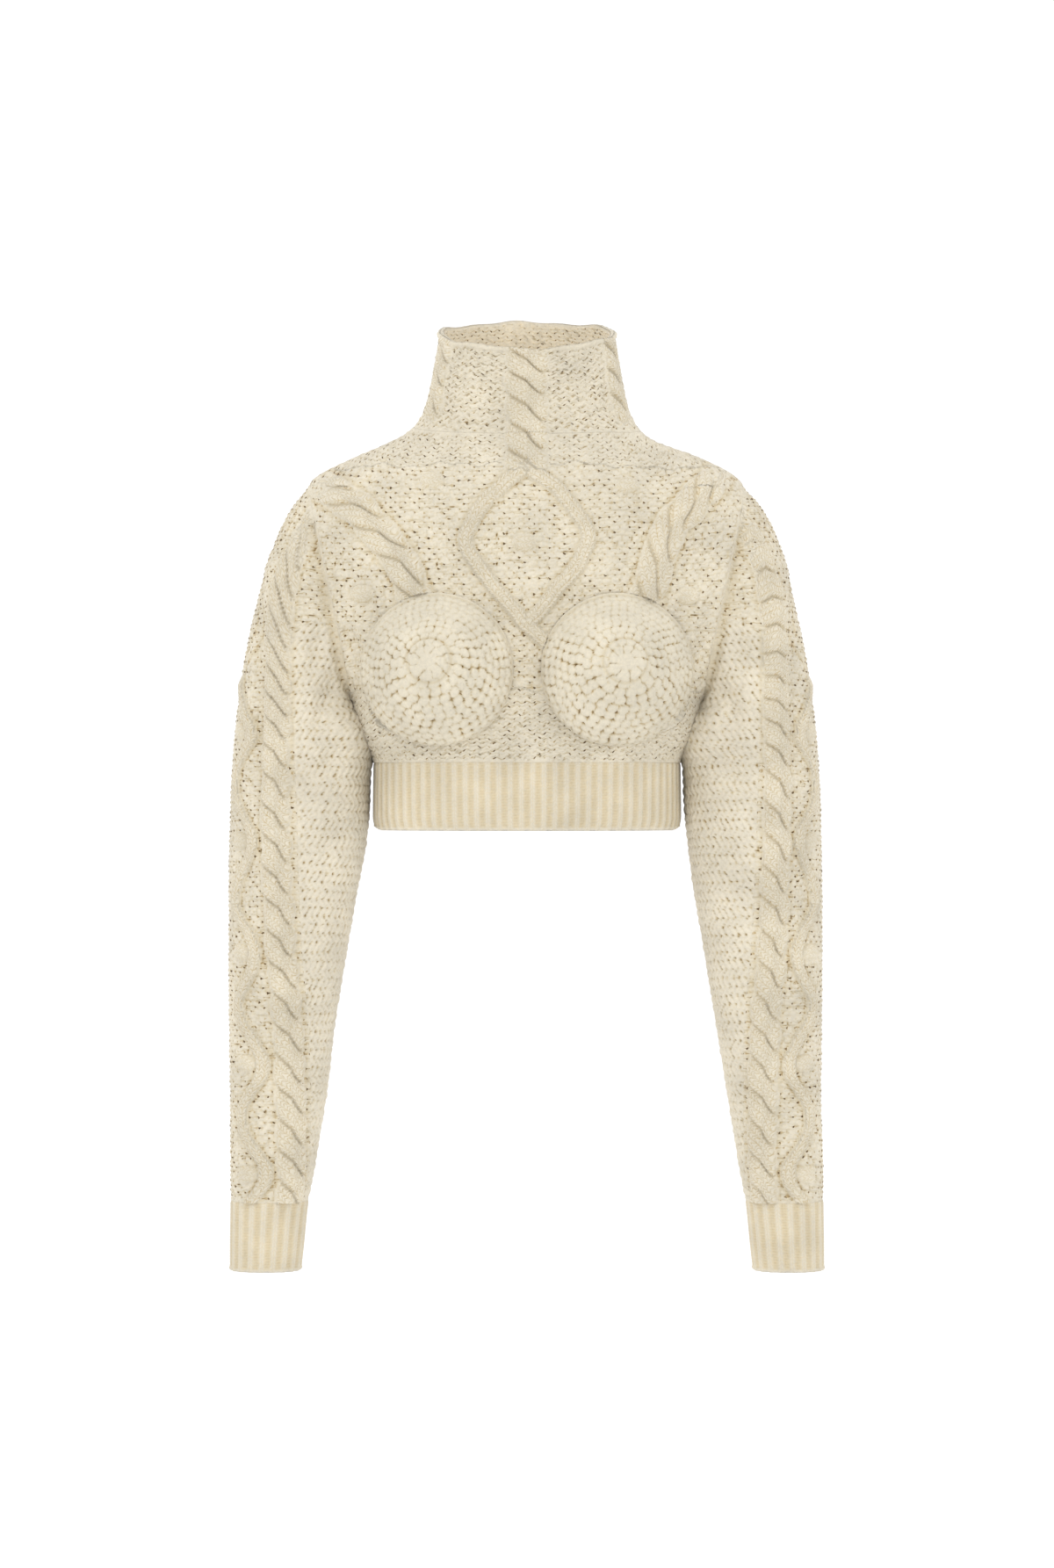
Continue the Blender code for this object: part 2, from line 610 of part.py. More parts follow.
def turns_at(at, offsets, spare):
    """Where round the ring a set of columns lies: some at fixed distances from the rope, the rest even."""
    fine = np.linspace(0, 2 * math.pi, ARC_POINTS)
    found = []
    for one in at:
        ring = sleeve_points(np.full(ARC_POINTS, one), fine, 1)
        length = np.concatenate([[0], np.cumsum(np.linalg.norm(np.diff(ring, axis=0), axis=1))])
        rope_turn = math.radians(float(sleeve_ring(np.array([one]))["rope_turn"][0]))
        start = np.interp(rope_turn, fine, length)
        around = length[-1]
        rest = np.linspace(offsets[-1], around + offsets[0], spare + 2)[1:-1]
        place = start + np.concatenate([offsets, rest])
        found.append(np.interp(place % around, length, fine))
    return np.array(found)


def wave_middle(at):
    """Distance of the waving strand's middle from the rope: nearest at regular places, furthest between them."""
    return WAVE_OFFSET + WAVE_SWING * np.cos(2 * math.pi * (at - WAVE_FIRST) / WAVE_PITCH)


def sleeve_relief(at, offset, hand):
    """The main rope, with the same slant on both arms, and outside it the waving strand with its bobbles."""
    height = rope(offset, at, SLEEVE_ROPE_WIDTH, SLEEVE_ROPE_PITCH, -hand)
    away = np.abs(offset - wave_middle(at))
    height = np.maximum(height, mound(away, WAVE_HALF_WIDTH, STRAND_RISE))
    bay = (at - WAVE_FIRST + WAVE_PITCH / 2) % WAVE_PITCH - WAVE_PITCH / 2
    bobble = np.hypot(offset - WAVE_OFFSET + 0.5 * WAVE_SWING, bay)
    height = np.maximum(height, mound(bobble, BOBBLE_RADIUS, BOBBLE_RISE))
    return height * np.clip((at - SLEEVE_ROPE_START) / ROPE_FADE, 0, 1)


def ring_directions(points):
    """Outward directions of a sleeve, within each ring's own plane."""
    middle = points.mean(1, keepdims=True)
    wrapped = np.concatenate([points[:, -1:], points, points[:, :1]], 1)
    along = unit(wrapped[:, 2:] - wrapped[:, :-2])
    chord = unit(points[:, :1] - middle)
    axis = unit(np.cross(chord, np.broadcast_to([0.0, 1.0, 0.0], chord.shape)))
    outward = unit(np.cross(along, np.broadcast_to(axis, along.shape)))
    return outward * np.sign(np.sum(outward * (points - middle), -1, keepdims=True))


SLEEVE_OFFSETS = np.array([-46, -40, -34, -28, -22, -16.5, -8.25, 0, 8.25, 16.5])
SLEEVE_SPARE = 12


def seam_plane_shift(points, hand):
    """Moves the sleeve's first and last rings half a gap away from the armhole and the cuff."""
    shifted = points.copy()
    shifted[0, :, 0] += hand * GAP / 2
    shifted[-1, :, 2] += GAP / 2
    return shifted


def sleeve(name, hand, material, collection):
    length = sleeve_stations()[SLEEVE_CUFF_ROW]
    row_line = np.linspace(0, length, int(length / SLEEVE_ROPE_PITCH * 3) + 1)
    offset_line = np.concatenate([SLEEVE_OFFSETS, np.full(SLEEVE_SPARE, 1000.0)])
    turns = turns_at(row_line, SLEEVE_OFFSETS, SLEEVE_SPARE)
    at = np.broadcast_to(row_line[:, None], turns.shape)
    points = sleeve_points(at, turns, hand)
    outward = ring_directions(points)
    relief = sleeve_relief(at, np.broadcast_to(offset_line, at.shape), hand)
    relief = np.where(row_line[:, None] > length - 4, 0.0, relief)
    points = seam_plane_shift(points, hand)
    outer = points + outward * relief[..., None]
    last = len(row_line) - 1
    inner_rows = sorted(set(range(0, last, 4)) | {last})
    inner_columns = list(range(0, len(offset_line), 2))
    inner = (points - WALL * outward)[np.ix_(inner_rows, inner_columns)]
    wall(name, outer, inner, inner_rows, inner_columns, True, material, collection)


def cuff(name, hand, material, collection):
    """A ribbed cuff, a tube that carries on from the sleeve's last ring."""
    stations = sleeve_stations()
    row_line = stations[SLEEVE_CUFF_ROW:]
    count = 2 * CUFF_RIBS
    turns = turns_at(row_line, np.array([0.0]), count - 1)
    at = np.broadcast_to(row_line[:, None], turns.shape)
    points = sleeve_points(at, turns, hand)
    outward = ring_directions(points)
    points[0, :, 2] -= GAP / 2
    raised = np.arange(count) % 2 * RIB_RISE
    outer = points + outward * raised[None, :, None]
    inner_columns = list(range(0, count, 3))
    inner = (points - RIB_WALL * outward)[np.ix_([0, 2], inner_columns)]
    wall(name, outer, inner, [0, 2], inner_columns, True, material, collection)


# --- the garment ----------------------------------------------------------------------------------


def main():
    for old in list(bpy.data.objects):
        bpy.data.objects.remove(old, do_unlink=True)
    collection = bpy.data.collections.new(COLLECTION)
    bpy.context.scene.collection.children.link(collection)
    cream = (0.78, 0.70, 0.56)
    tan = (0.72, 0.62, 0.45)
    front_outer = body_panel(
        "front", -1, FRONT_ROW_CELLS, FRONT_STOPS, FRONT_CELLS, front_relief,
        knit_material("front_cable_knit", cream, 0.92), collection,
    )
    body_panel(
        "back", 1, BACK_ROW_CELLS, BACK_STOPS, BACK_CELLS, back_relief,
        knit_material("back_cable_knit", cream, 0.92), collection,
    )
    collar(knit_material("collar_cable_knit", cream, 0.92), collection)
    hem_rib("hem_rib_front", -1, knit_material("hem_front_rib_knit", tan, 0.9), collection)
    hem_rib("hem_rib_back", 1, knit_material("hem_back_rib_knit", tan, 0.9), collection)
    for side, hand in (("left", -1), ("right", 1)):
        cup("cup_" + side, hand, front_outer, knit_material("cup_crochet_" + side, cream, 0.94), collection)
        sleeve("sleeve_" + side, hand, knit_material("sleeve_cable_knit_" + side, cream, 0.92), collection)
        cuff("cuff_" + side, hand, knit_material("cuff_rib_knit_" + side, tan, 0.9), collection)


main()
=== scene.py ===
"""Cropped cable-knit pullover in chunky cream yarn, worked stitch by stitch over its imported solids.

Each cut piece is one wall of knit: a fine outer grid that follows the stitches, and a coarser plain inner
one. Sizes are in millimetres and turn to metres where a mesh is made. The wearer faces -Y; the origin is
the middle of the body at the base of the neck.
"""
import functools
import math

import bpy
import numpy as np
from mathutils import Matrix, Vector


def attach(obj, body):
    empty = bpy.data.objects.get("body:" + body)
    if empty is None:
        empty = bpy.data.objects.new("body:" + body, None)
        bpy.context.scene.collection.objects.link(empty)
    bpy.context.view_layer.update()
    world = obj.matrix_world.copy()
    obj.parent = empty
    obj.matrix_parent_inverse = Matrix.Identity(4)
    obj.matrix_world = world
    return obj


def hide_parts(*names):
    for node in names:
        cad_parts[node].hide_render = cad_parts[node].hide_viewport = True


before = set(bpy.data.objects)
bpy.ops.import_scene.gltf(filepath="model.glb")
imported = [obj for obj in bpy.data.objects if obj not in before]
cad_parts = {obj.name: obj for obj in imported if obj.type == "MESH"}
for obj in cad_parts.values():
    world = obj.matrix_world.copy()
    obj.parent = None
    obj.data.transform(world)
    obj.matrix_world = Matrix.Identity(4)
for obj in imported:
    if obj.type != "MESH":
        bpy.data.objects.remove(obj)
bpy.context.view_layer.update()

MM = 0.001
TURN = 2 * math.pi

# Sizes of the cut, as the solids have them.
WALL = 3.5
RIB_WALL = 3.0
HEM_BOTTOM = -338.0
HEM_RIB_TOP = -280.0
ARMPIT = (149.0, -228.0)
SHOULDER = (189.0, -38.0)
ARMHOLE_DEPTH = 59.0
ARMHOLE_ROUNDNESS = 2.2
COLLAR_TOP = 84.0
CUP_CENTRE = (76.5, -201.0)
CUP_RADIUS = 63.5
CUP_HEIGHT = 40.0
CUP_GAP = 0.6
CUP_WALL = 3.0
BOSS_CENTRE = (81.0, -195.0)
BOSS_RADIUS = 16.0
BOSS_RISE = 3.5

# Gauge of the knit: width of a stitch and height of a row.
STITCH = 8.5
ROW = 4.3
COLLAR_ROW = 3.4
RIB_PITCH = 9.5
CUFF_RIBS = 19
RIB_ROW = 2.4
LEG = 2.4  # half the width of a column of plain stitches
LEG_ROW = 3.5  # height of a plain stitch


def table(names, *rows):
    """Named columns of numbers, one row for each section."""
    return dict(zip(names, np.array(rows, float).T))


BODY = table(
    ("front_z", "side_z", "back_z", "half_width", "front_depth", "back_depth", "roundness"),
    (-338, -338, -338, 130.0, 86, 80, 2.35),
    (-326, -326, -326, 132.0, 89, 83, 2.35),
    (-280, -280, -280, 131.5, 92, 86, 2.35),
    (-256, -256, -256, 135.5, 95, 89, 2.35),
    (-228, -228, -228, 149.0, 99, 94, 2.35),
    (-180, -180, -180, 160.0, 103, 99, 2.30),
    (-130, -130, -130, 170.0, 104, 101, 2.25),
    (-86, -78, -76, 181.0, 100, 99, 2.15),
    (-52, -38, -32, 189.0, 91, 92, 2.10),
    (-36, -21, -13, 159.0, 84, 85, 2.05),
    (-20, -7, 3, 127.0, 76, 77, 2.05),
    (-8, 3, 13, 106.5, 70.5, 71, 2.05),
    (0, 10, 22, 97.5, 67.5, 67.5, 2.05),
    (14, 25, 37, 88.5, 64, 63.5, 2.05),
    (34, 46, 59, 83.0, 62, 61.5, 2.05),
    (60, 73, 87, 78.5, 61, 60.5, 2.05),
    (84, 98, 112, 75.0, 59.5, 59, 2.05),
)

SLEEVE = table(
    ("outer_x", "outer_z", "inner_x", "inner_z", "half_depth", "middle_y", "rope_turn"),
    (189, -38, 149, -228, 59, 0, 44),
    (211.5, -76, 151.0, -230.5, 60.0, 0, 47),
    (228, -122, 151.2, -234, 60.0, 0, 53),
    (239, -167, 150.5, -240, 59.5, 0, 60),
    (247, -213, 145.5, -249, 58.5, 0, 66),
    (252.5, -261, 139.0, -266, 57.5, 0, 70),
    (255.5, -306, 136.3, -304, 56.0, -1, 73),
    (257, -372, 142.5, -372, 52.0, -3, 78),
    (257, -441, 153.5, -441, 47.5, -5, 86),
    (256.5, -509, 164.5, -509, 43.0, -7, 97),
    (255.5, -577, 175.5, -577, 38.0, -9, 108),
    (255, -640, 186.0, -640, 33.0, -11, 121),
    (254.5, -657, 189.5, -657, 31.5, -12, 124),
    (255, -700, 194.0, -700, 28.5, -13, 124),
    (255, -717, 196.0, -717, 27.5, -13, 124),
)
SLEEVE_CUFF_ROW = 12

# Paths on the front: the ropes from the shoulders, the diamond's right side, and where its left one ends.
YOKE_ROPES = (
    np.array([(-176, -42), (-152, -58), (-126, -84), (-106, -112), (-93, -142)], float),
    np.array([(164, -34), (146, -54), (124, -78), (112, -104), (101, -142)], float),
)
DIAMOND = np.array([(0, -30), (24, -48), (46, -76), (52, -91), (46, -107), (24, -136), (1, -163)], float)
DIAMOND_TAIL = np.array([(-1, -163), (9, -172), (16, -180)], float)
YOKE_BOBBLES = ((-2, -95), (-81, -41), (85, -45), (-141, -137), (137, -139))
BOBBLE_RADIUS = 10.0
BOBBLE_RISE = 3.6

# Ropes: width, length of a turn, and how many turns a groove runs down from side to side.
YOKE_ROPE = (32.0, 33.0, 1.35)
COLLAR_ROPE = (40.0, 24.5, 1.0)
SIDE_ROPE = (24.0, 24.5, 0.8)
SLEEVE_ROPE = (29.0, 27.0, 0.9)
SIDE_ROPE_ACROSS = 0.76
COLLAR_ROPE_END = -42.0
SLEEVE_ROPE_START = 6.0
ROPE_FADE = 20.0
BACK_NECK_Z = 22.0

# Travelling strands, and the sleeve's waving one by its distance from the rope and down the sleeve.
STRAND_HALF = 6.8
STRAND_RISE = 3.7
WAVE_START = 168.0
WAVE_FIRST = 226.0
WAVE_PITCH = 95.0
WAVE_OFFSET = -34.0
WAVE_SWING = 11.0

FILL = 10.5  # how far the body and the sleeve swell towards each other above the waist
LAP = 0.25  # how far the edges of two pieces run into each other at a seam
SEAM_FADE = 3.0  # distance from a seam over which stitches flatten
RIM_DROP = (5.0, 5.5)  # how far the collar's rim has sunk all round, and how much more in front
# The plain inside of a wall is given the painted shade of a flank.
INSIDE_DEPTH = 0.45  # the plain inside of a wall, as deep in colour as a shaded flank
SAMPLES = 1201  # points of the fine curves that lengths are measured on
CUT_STEPS = 12  # steps that find where a tilted ring meets the armhole's plane
ROW_CELLS = 4  # rows of points in a row of stitches
FRONT_CELLS = 6  # columns of points in a stitch of the front
BACK_CELLS = 5  # the same in the back and the sleeves
RIB_CELLS = 8  # columns of points in a rib


# --- the garment's form, the same as the solids' ---


def curve(knots, values, at):
    """A smooth curve through the knots that never overshoots: cubic pieces whose slopes are limited means."""
    step = np.diff(knots)
    rise = np.diff(values) / step
    before = rise[:-1]
    after = rise[1:]
    turns = before * after <= 0
    weight_before = 2 * step[1:] + step[:-1]
    weight_after = step[1:] + 2 * step[:-1]
    safe_before = np.where(turns, 1.0, before)
    safe_after = np.where(turns, 1.0, after)
    mean = (weight_before + weight_after) / (weight_before / safe_before + weight_after / safe_after)
    slope = np.concatenate([rise[:1], np.where(turns, 0.0, mean), rise[-1:]])
    piece = np.clip(np.searchsorted(knots, at, side="right") - 1, 0, len(knots) - 2)
    width = step[piece]
    t = (at - knots[piece]) / width
    start = values[piece] * (1 + 2 * t) * (1 - t) ** 2 + slope[piece] * width * t * (1 - t) ** 2
    end = values[piece + 1] * t**2 * (3 - 2 * t) - slope[piece + 1] * width * t**2 * (1 - t)
    return start + end


def signed_power(value, power):
    """The size raised to a power, with its sign kept."""
    return np.sign(value) * np.abs(value) ** power


def unit(vectors):
    """Vectors divided by their lengths."""
    return vectors / np.maximum(np.linalg.norm(vectors, axis=-1, keepdims=True), 1e-9)


def capped(value):
    """The value kept between 0 and 1."""
    return np.clip(value, 0, 1)


def smooth(value, low, high):
    """0 at low, 1 at high and a cubic ease between them; low may be the greater."""
    t = capped((value - low) / (high - low))
    return t * t * (3 - 2 * t)


def bell(distance, width):
    """1 at no distance, falling to both sides as a bell curve."""
    return np.exp(-((distance / width) ** 2))


def arch(part):
    """A half circle: 1 in the middle and 0 at a part of 1 to either side."""
    return np.sqrt(capped(1 - part**2))


def by_row(at, knots, values):
    """Straight steps between knots in each row of a grid."""
    return np.array([np.interp(a, k, v) for a, k, v in zip(at, knots, np.broadcast_to(values, knots.shape))])


def armhole_x(z):
    """Where the armhole's leaning plane is: straight from the armpit to the shoulder's tip."""
    lean = (SHOULDER[0] - ARMPIT[0]) / (SHOULDER[1] - ARMPIT[1])
    return ARMPIT[0] + lean * (z - ARMPIT[1])


def armhole_half_depth(z):
    """Half the armhole's depth at a height: an oval by a circle's formula with a power a little over 2."""
    middle = (ARMPIT[1] + SHOULDER[1]) / 2
    half = (SHOULDER[1] - ARMPIT[1]) / 2
    off = capped(np.abs(z - middle) / half)
    return ARMHOLE_DEPTH * (1 - off**ARMHOLE_ROUNDNESS) ** (1 / ARMHOLE_ROUNDNESS)


def body_ring(row, face):
    """Sizes of the body's front half ring (face -1) or back one (face 1) at each row, up to the armhole."""
    size = {name: curve(BODY["front_z"], BODY[name], row) for name in BODY}
    depth = size["front_depth"] if face < 0 else size["back_depth"]
    middle_z = row if face < 0 else size["back_z"]
    tilt = middle_z - size["side_z"]
    cut = (size["side_z"] > ARMPIT[1]) & (size["side_z"] < SHOULDER[1])
    edge_depth = np.zeros_like(depth)
    for _ in range(CUT_STEPS):
        edge_z = size["side_z"] + tilt * edge_depth / depth
        edge_depth = np.where(cut, armhole_half_depth(edge_z), 0.0)
    power = size["roundness"]
    reach = (1 - (edge_depth / depth) ** power) ** (1 / power)
    edge_x = np.where(cut, armhole_x(edge_z), size["half_width"])
    limit = np.arcsin(capped(reach ** (power / 2)))
    return {"side_z": size["side_z"], "tilt": tilt, "depth": depth, "power": power, "width": edge_x / reach,
            "limit": limit}


def beside_armhole(z):
    """1 along the armhole's sides, eased to 0 at the shoulder and under the arm."""
    return smooth(z, -60.0, -90.0) * smooth(z, -236.0, -214.0)


def bust(x, z):
    """How far the front is pushed forwards: two domes, round and steep below, easier above."""
    across = (np.abs(x) - CUP_CENTRE[0]) / CUP_RADIUS
    up = (z - CUP_CENTRE[1]) / CUP_RADIUS
    radius = capped(np.hypot(across, up))
    above = 0.5 + 0.5 * np.clip(up / 0.8, -1, 1)
    steep = (1 - radius**2.2) ** 0.7
    easy = (1 - radius**2.0) ** 1.1
    return CUP_HEIGHT * (steep * (1 - above) + easy * above)


def body_points(row, across, face, domes=True):
    """Points of the body's surface: row is a height up the front, and across runs from -1 to 1.

    Each half ring is a rounded oval, a circle's sine and cosine raised to a power under 1. It tilts up
    towards the back, and is cut off at the armhole.
    """
    row, across = np.broadcast_arrays(row, across)
    ring = body_ring(row, face)
    angle = across * ring["limit"]
    x = ring["width"] * signed_power(np.sin(angle), 2 / ring["power"])
    inwards = np.maximum(np.cos(angle), 0) ** (2 / ring["power"])
    z = ring["side_z"] + ring["tilt"] * inwards
    y = face * ring["depth"] * inwards
    if face < 0 and domes:
        y = y - bust(x, z)
    return np.stack([x, y, z], -1)


OUTER_STEPS = [np.diff(SLEEVE[name], prepend=SLEEVE[name][0]) for name in ("outer_x", "outer_z")]
STATIONS = np.cumsum(np.hypot(*OUTER_STEPS))  # lengths down the sleeve's outer line
CUFF_AT = STATIONS[SLEEVE_CUFF_ROW]


def sleeve_points(at, turn, hand):
    """Points of a sleeve. Turn is 0 on the outer line, positive round the front, and pi on the inner line."""
    ring = {name: curve(STATIONS, SLEEVE[name], at) for name in SLEEVE}
    power = 2 / ARMHOLE_ROUNDNESS
    out = signed_power(np.cos(turn), power)
    x = (ring["outer_x"] + ring["inner_x"]) / 2 + out * (ring["outer_x"] - ring["inner_x"]) / 2
    z = (ring["outer_z"] + ring["inner_z"]) / 2 + out * (ring["outer_z"] - ring["inner_z"]) / 2
    y = ring["middle_y"] - ring["half_depth"] * signed_power(np.sin(turn), power)
    return np.stack([hand * x, y, z], -1)


def normals(surface, a, b, step_a, step_b):
    """Unit normals of a surface of two parameters: the cross product of small steps along each."""
    lengthwise = surface(a + step_a, b) - surface(a - step_a, b)
    sideways = surface(a, b + step_b) - surface(a, b - step_b)
    return unit(np.cross(sideways, lengthwise))


def body_normals(row, across, face):
    """Outward unit normals of the body."""
    found = normals(lambda up, part: body_points(up, np.clip(part, -1, 1), face), row, across, 0.5, 0.002)
    return found * np.sign((found[..., 1] * face).mean())


def sleeve_normals(at, turn, hand):
    """Outward unit normals of a sleeve, which point away from the other side of the ring."""
    found = normals(lambda down, round_it: sleeve_points(down, round_it, hand), at, turn, 0.5, 0.004)
    outwards = sleeve_points(at, turn, hand) - sleeve_points(at, turn + math.pi, hand)
    return found * np.sign(np.sum(found * outwards, -1, keepdims=True))


def settle(points):
    """Small slips of worn cloth, the same for every piece, so that seams stay shut.

    The shoulder tips are pulled in by bell curves of the distance from them, the shoulder at +X hangs lower
    beside the neck, that sleeve's outer side lies closer in and the other's inner side further out.
    """
    moved = points.copy()
    x, z = points[..., 0], points[..., 2]
    tip = bell(np.hypot(np.abs(x) - SHOULDER[0], z - SHOULDER[1]), 17.0) * np.where(x > 0, 3.8, 2.4)
    slump = 3.2 * bell(x - 106.0, 26.0) * smooth(z, -60.0, -10.0) * smooth(z, 60.0, 20.0)
    closer = 2.5 * smooth(x, 205.0, 240.0) * smooth(z, -90.0, -150.0) * smooth(z, -640.0, -560.0)
    out = 2.8 * smooth(x, -205.0, -170.0) * smooth(x, 0.0, -120.0)
    out = out * smooth(z, -345.0, -400.0) * smooth(z, -570.0, -500.0)
    moved[..., 0] -= np.sign(x) * 0.8 * tip + closer + out
    moved[..., 2] -= 0.6 * tip + slump
    return moved


def path_length(points, axis):
    """Length from the first point along an axis of a grid, point by point."""
    steps = np.linalg.norm(np.diff(points, axis=axis), axis=-1)
    start = np.zeros_like(np.take(steps, [0], axis))
    return np.concatenate([start, np.cumsum(steps, axis)], axis)


# --- stitches ---
# Each returns a layer of knit: its height in millimetres, how deep the place lies in the yarn from 0 to 1,
# which sets the painted shade of its colour, two coordinates on the yarn, and its kind. Kind 1 is plain
# stitches, whose coordinates are millimetres along and across their legs. Kind -1 is purl, whose
# coordinates count stitches and rows. Kind 0 has no marks of its own.

NOTHING = -9.0  # height where a layer isn't there
SEAM_HEIGHT = 0.6
SEAM_DEPTH = 0.08


def layer(height, depth, along, across, kind=0.0):
    """The five numbers of each place side by side."""
    parts = np.broadcast_arrays(height, depth, along, across, kind)
    return np.stack(parts, -1)


def over(ground, *layers):
    """Layers of knit lying over the ground: at each place the highest one shows."""
    for top in layers:
        ground = np.where((top[..., 0] > ground[..., 0])[..., None], top, ground)
    return ground


def pick(one, other, share):
    """The first layer where the share is under a half, and the other elsewhere."""
    return np.where((share > 0.5)[..., None], other, one)


def seam(knit, fade):
    """Levels the knit towards a seam, where fade is 0, so that the pieces beside it meet."""
    height = SEAM_HEIGHT + (knit[..., 0] - SEAM_HEIGHT) * fade
    depth = SEAM_DEPTH + (knit[..., 1] - SEAM_DEPTH) * fade
    return layer(height, depth, knit[..., 2], knit[..., 3], knit[..., 4] * fade)


def shade_beside(ground, distance, width, amount):
    """Darkens the knit next to a raised form: a bell curve of the distance outside its edge."""
    ground = ground.copy()
    ground[..., 1] = capped(ground[..., 1] + amount * bell(distance, width))
    return ground


def chance(a, b, salt):
    """A fixed number from 0 to 1 for two whole numbers: the fraction of a large multiple of a sine."""
    mixed = np.sin(a * 12.9898 + b * 78.233 + salt * 37.719) * 43758.5453
    return mixed - np.floor(mixed)


def stray(a, b, salt, reach):
    """A fixed slip to either side for two whole numbers, up to half of the reach."""
    return reach * (chance(a, b, salt) - 0.5)


def uneven(s, v, salt):
    """How far hand knitting strays, in millimetres: two long waves that cross."""
    return 0.8 * np.sin(s / 15.0 + v / 37.0 + salt) + 0.6 * np.sin(s / 27.0 - v / 12.0 + 2 * salt)


def laid_yarn(u, row, bend, salt, length, girth):
    """Arcs of yarn laid like bricks, as purl shows them: 1 on their crowns, least in the holes between.

    Each row has an arc per stitch, half a stitch on in every second row. An arc is a half ellipse along the
    row times a half ellipse across it, and bends up in one row and down in the next.
    """
    best = np.zeros_like(u)
    for step in (-1, 0, 1):
        line = np.round(row) + step
        odd = np.mod(line, 2)
        place = u - 0.5 * odd + stray(line, line, salt + 7, 0.22)
        stitch = np.round(place)
        along = place - stitch + stray(line, stitch, salt, 0.18)
        lift = bend * np.cos(TURN * along) * (1 - 2 * odd) + stray(line, stitch, salt + 1, 0.26)
        across = row - line - lift
        size = 0.82 + 0.32 * chance(line, stitch, salt + 2)
        best = np.maximum(best, size * arch(along / length) * arch(across / girth))
    return best


def holes(yarn, u, row, salt):
    """Painted shade between yarns: soft on the flanks, and here and there a dark hole right through the knit.
    """
    through = chance(np.round(2 * u), np.round(2 * row), salt + 5) ** 4
    flank = 0.26 * smooth(yarn, 0.68, 0.40)
    return capped(0.02 + flank + (0.08 + 1.1 * through) * smooth(yarn, 0.42, 0.16))


def purl(s, v, salt):
    """Reverse side of plain knit, by distance across and up the cloth.

    Its rows are counted with a wave that narrows each arc at its ends: a cosine of the stitch times a sine of
    the row.
    """
    u, row = s / STITCH, (v + uneven(s, v, salt)) / ROW
    yarn = laid_yarn(u, row, 0.0, salt, 0.57, 0.60)
    counted = row - 0.28 * np.cos(TURN * u) * np.sin(math.pi * row)
    return layer(2.3 * (yarn - 0.58), holes(yarn, u, row, salt), u, counted, -1.0)


def fine_purl(s, v, salt):
    """The closer purl of the collar and beside it: flatter, longer arcs whose rows all wave together."""
    u, row = s / STITCH, (v + 0.7 * uneven(s, v, salt)) / COLLAR_ROW
    yarn = laid_yarn(u, row, 0.26, salt, 0.80, 0.58)
    return layer(2.2 * (yarn - 0.58), holes(yarn, u, row, salt), u, row - 0.26 * np.cos(TURN * u), -1.0)


def braid(s, v, salt):
    """Rows of fat slanting stitches, leaning one way and then the other: leaning ellipses, row over row."""
    width, height = 5.9, 7.6
    row = (v + 0.8 * uneven(s, v, salt)) / height
    u = s / width
    best = np.zeros_like(u)
    for step in (-1, 0, 1):
        line = np.round(row) + step
        odd = np.mod(line, 2)
        lean = (1 - 2 * odd) * 0.85
        across = row - line
        place = u + lean * across + 0.4 * chance(line, line, salt + 3)
        stitch = np.round(place)
        along = place - stitch + stray(line, stitch, salt, 0.12)
        across = across + stray(line, stitch, salt + 1, 0.14)
        size = 0.84 + 0.3 * chance(line, stitch, salt + 2)
        body = capped(1 - np.abs(along / 0.57) ** 2.2 - np.abs(across / 0.66) ** 2.4)
        best = np.maximum(best, size * np.sqrt(body))
    # Painted shade between the stitches, deepest in the gaps.
    depth = 0.02 + 0.52 * smooth(best, 0.68, 0.34) + 0.26 * smooth(best, 0.34, 0.10)
    return layer(2.8 * (best - 0.58), depth, s, v)


def rope(off, down, size):
    """A rope cable: two strands of plain knit wound round each other, seen from outside.

    The groove under a strand falls steeply from the left edge and flattens towards the middle: a share of
    an arc sine. On the right it falls on as a sine that turns up again, where the strand's round end tucks
    in. Left of the middle a strand rises from under the one above it and ends in a sharp edge. The sides
    swell with each.
    """
    width, pitch, reach = size
    slope = math.atan2(0.62 * reach * pitch, width / 2)
    off = off + 0.7 * np.sin(down / 9.0) + 0.4 * np.sin(down / 4.1 + 1.0)
    part = np.clip(2 * off / width, -1, 1)
    left, right = capped(-part), capped(part)
    fall = 0.60 * np.sin(math.pi * right / 1.45) - 0.62 * (0.25 * left + 0.75 * np.arcsin(left) * 2 / math.pi)
    turn = down / pitch - reach * fall
    t = turn - np.floor(turn)
    lapped = smooth(part, 0.45, -0.35)
    sharp = (0.28 + 0.72 * np.sin(math.pi / 2 * capped(t / 0.8))) * np.sqrt(capped((1 - t) / 0.11))
    tucked = capped(1 - np.abs(2 * t - 1) ** 2.6) ** 0.5
    body = lapped * sharp + (1 - lapped) * tucked
    limit = 1 - (0.24 - 0.12 * lapped) * (2 * t - 1) ** 2
    side = capped(np.abs(part) / limit)
    edge = (1 - side**3) ** 0.6
    across = t * pitch * math.cos(slope)
    columns = 0.35 * np.cos(math.pi * across / LEG)
    height = edge * (0.5 + 4.8 * body - columns) - 0.9 * smooth(side, 0.8, 1.0)
    # Painted shadow: a dark line in the groove under each strand, wider on the left where one strand lies
    # over the next, and a little painted shade just under the strand above.
    line = smooth(t, 0.86 + 0.04 * lapped, 0.985) + 0.6 * smooth(t, 0.06, 0.0)
    depth = 0.01 + (0.33 + 0.09 * lapped) * line + 0.08 * smooth(t, 0.30, 0.0)
    along = down * math.sin(slope) + off * math.cos(slope)
    kind = smooth(side, 1.0, 0.8) * smooth(t, 0.0, 0.06) * smooth(t, 1.0, 0.94)
    return layer(np.where(side < 1, height, NOTHING), capped(depth), along, across, kind)


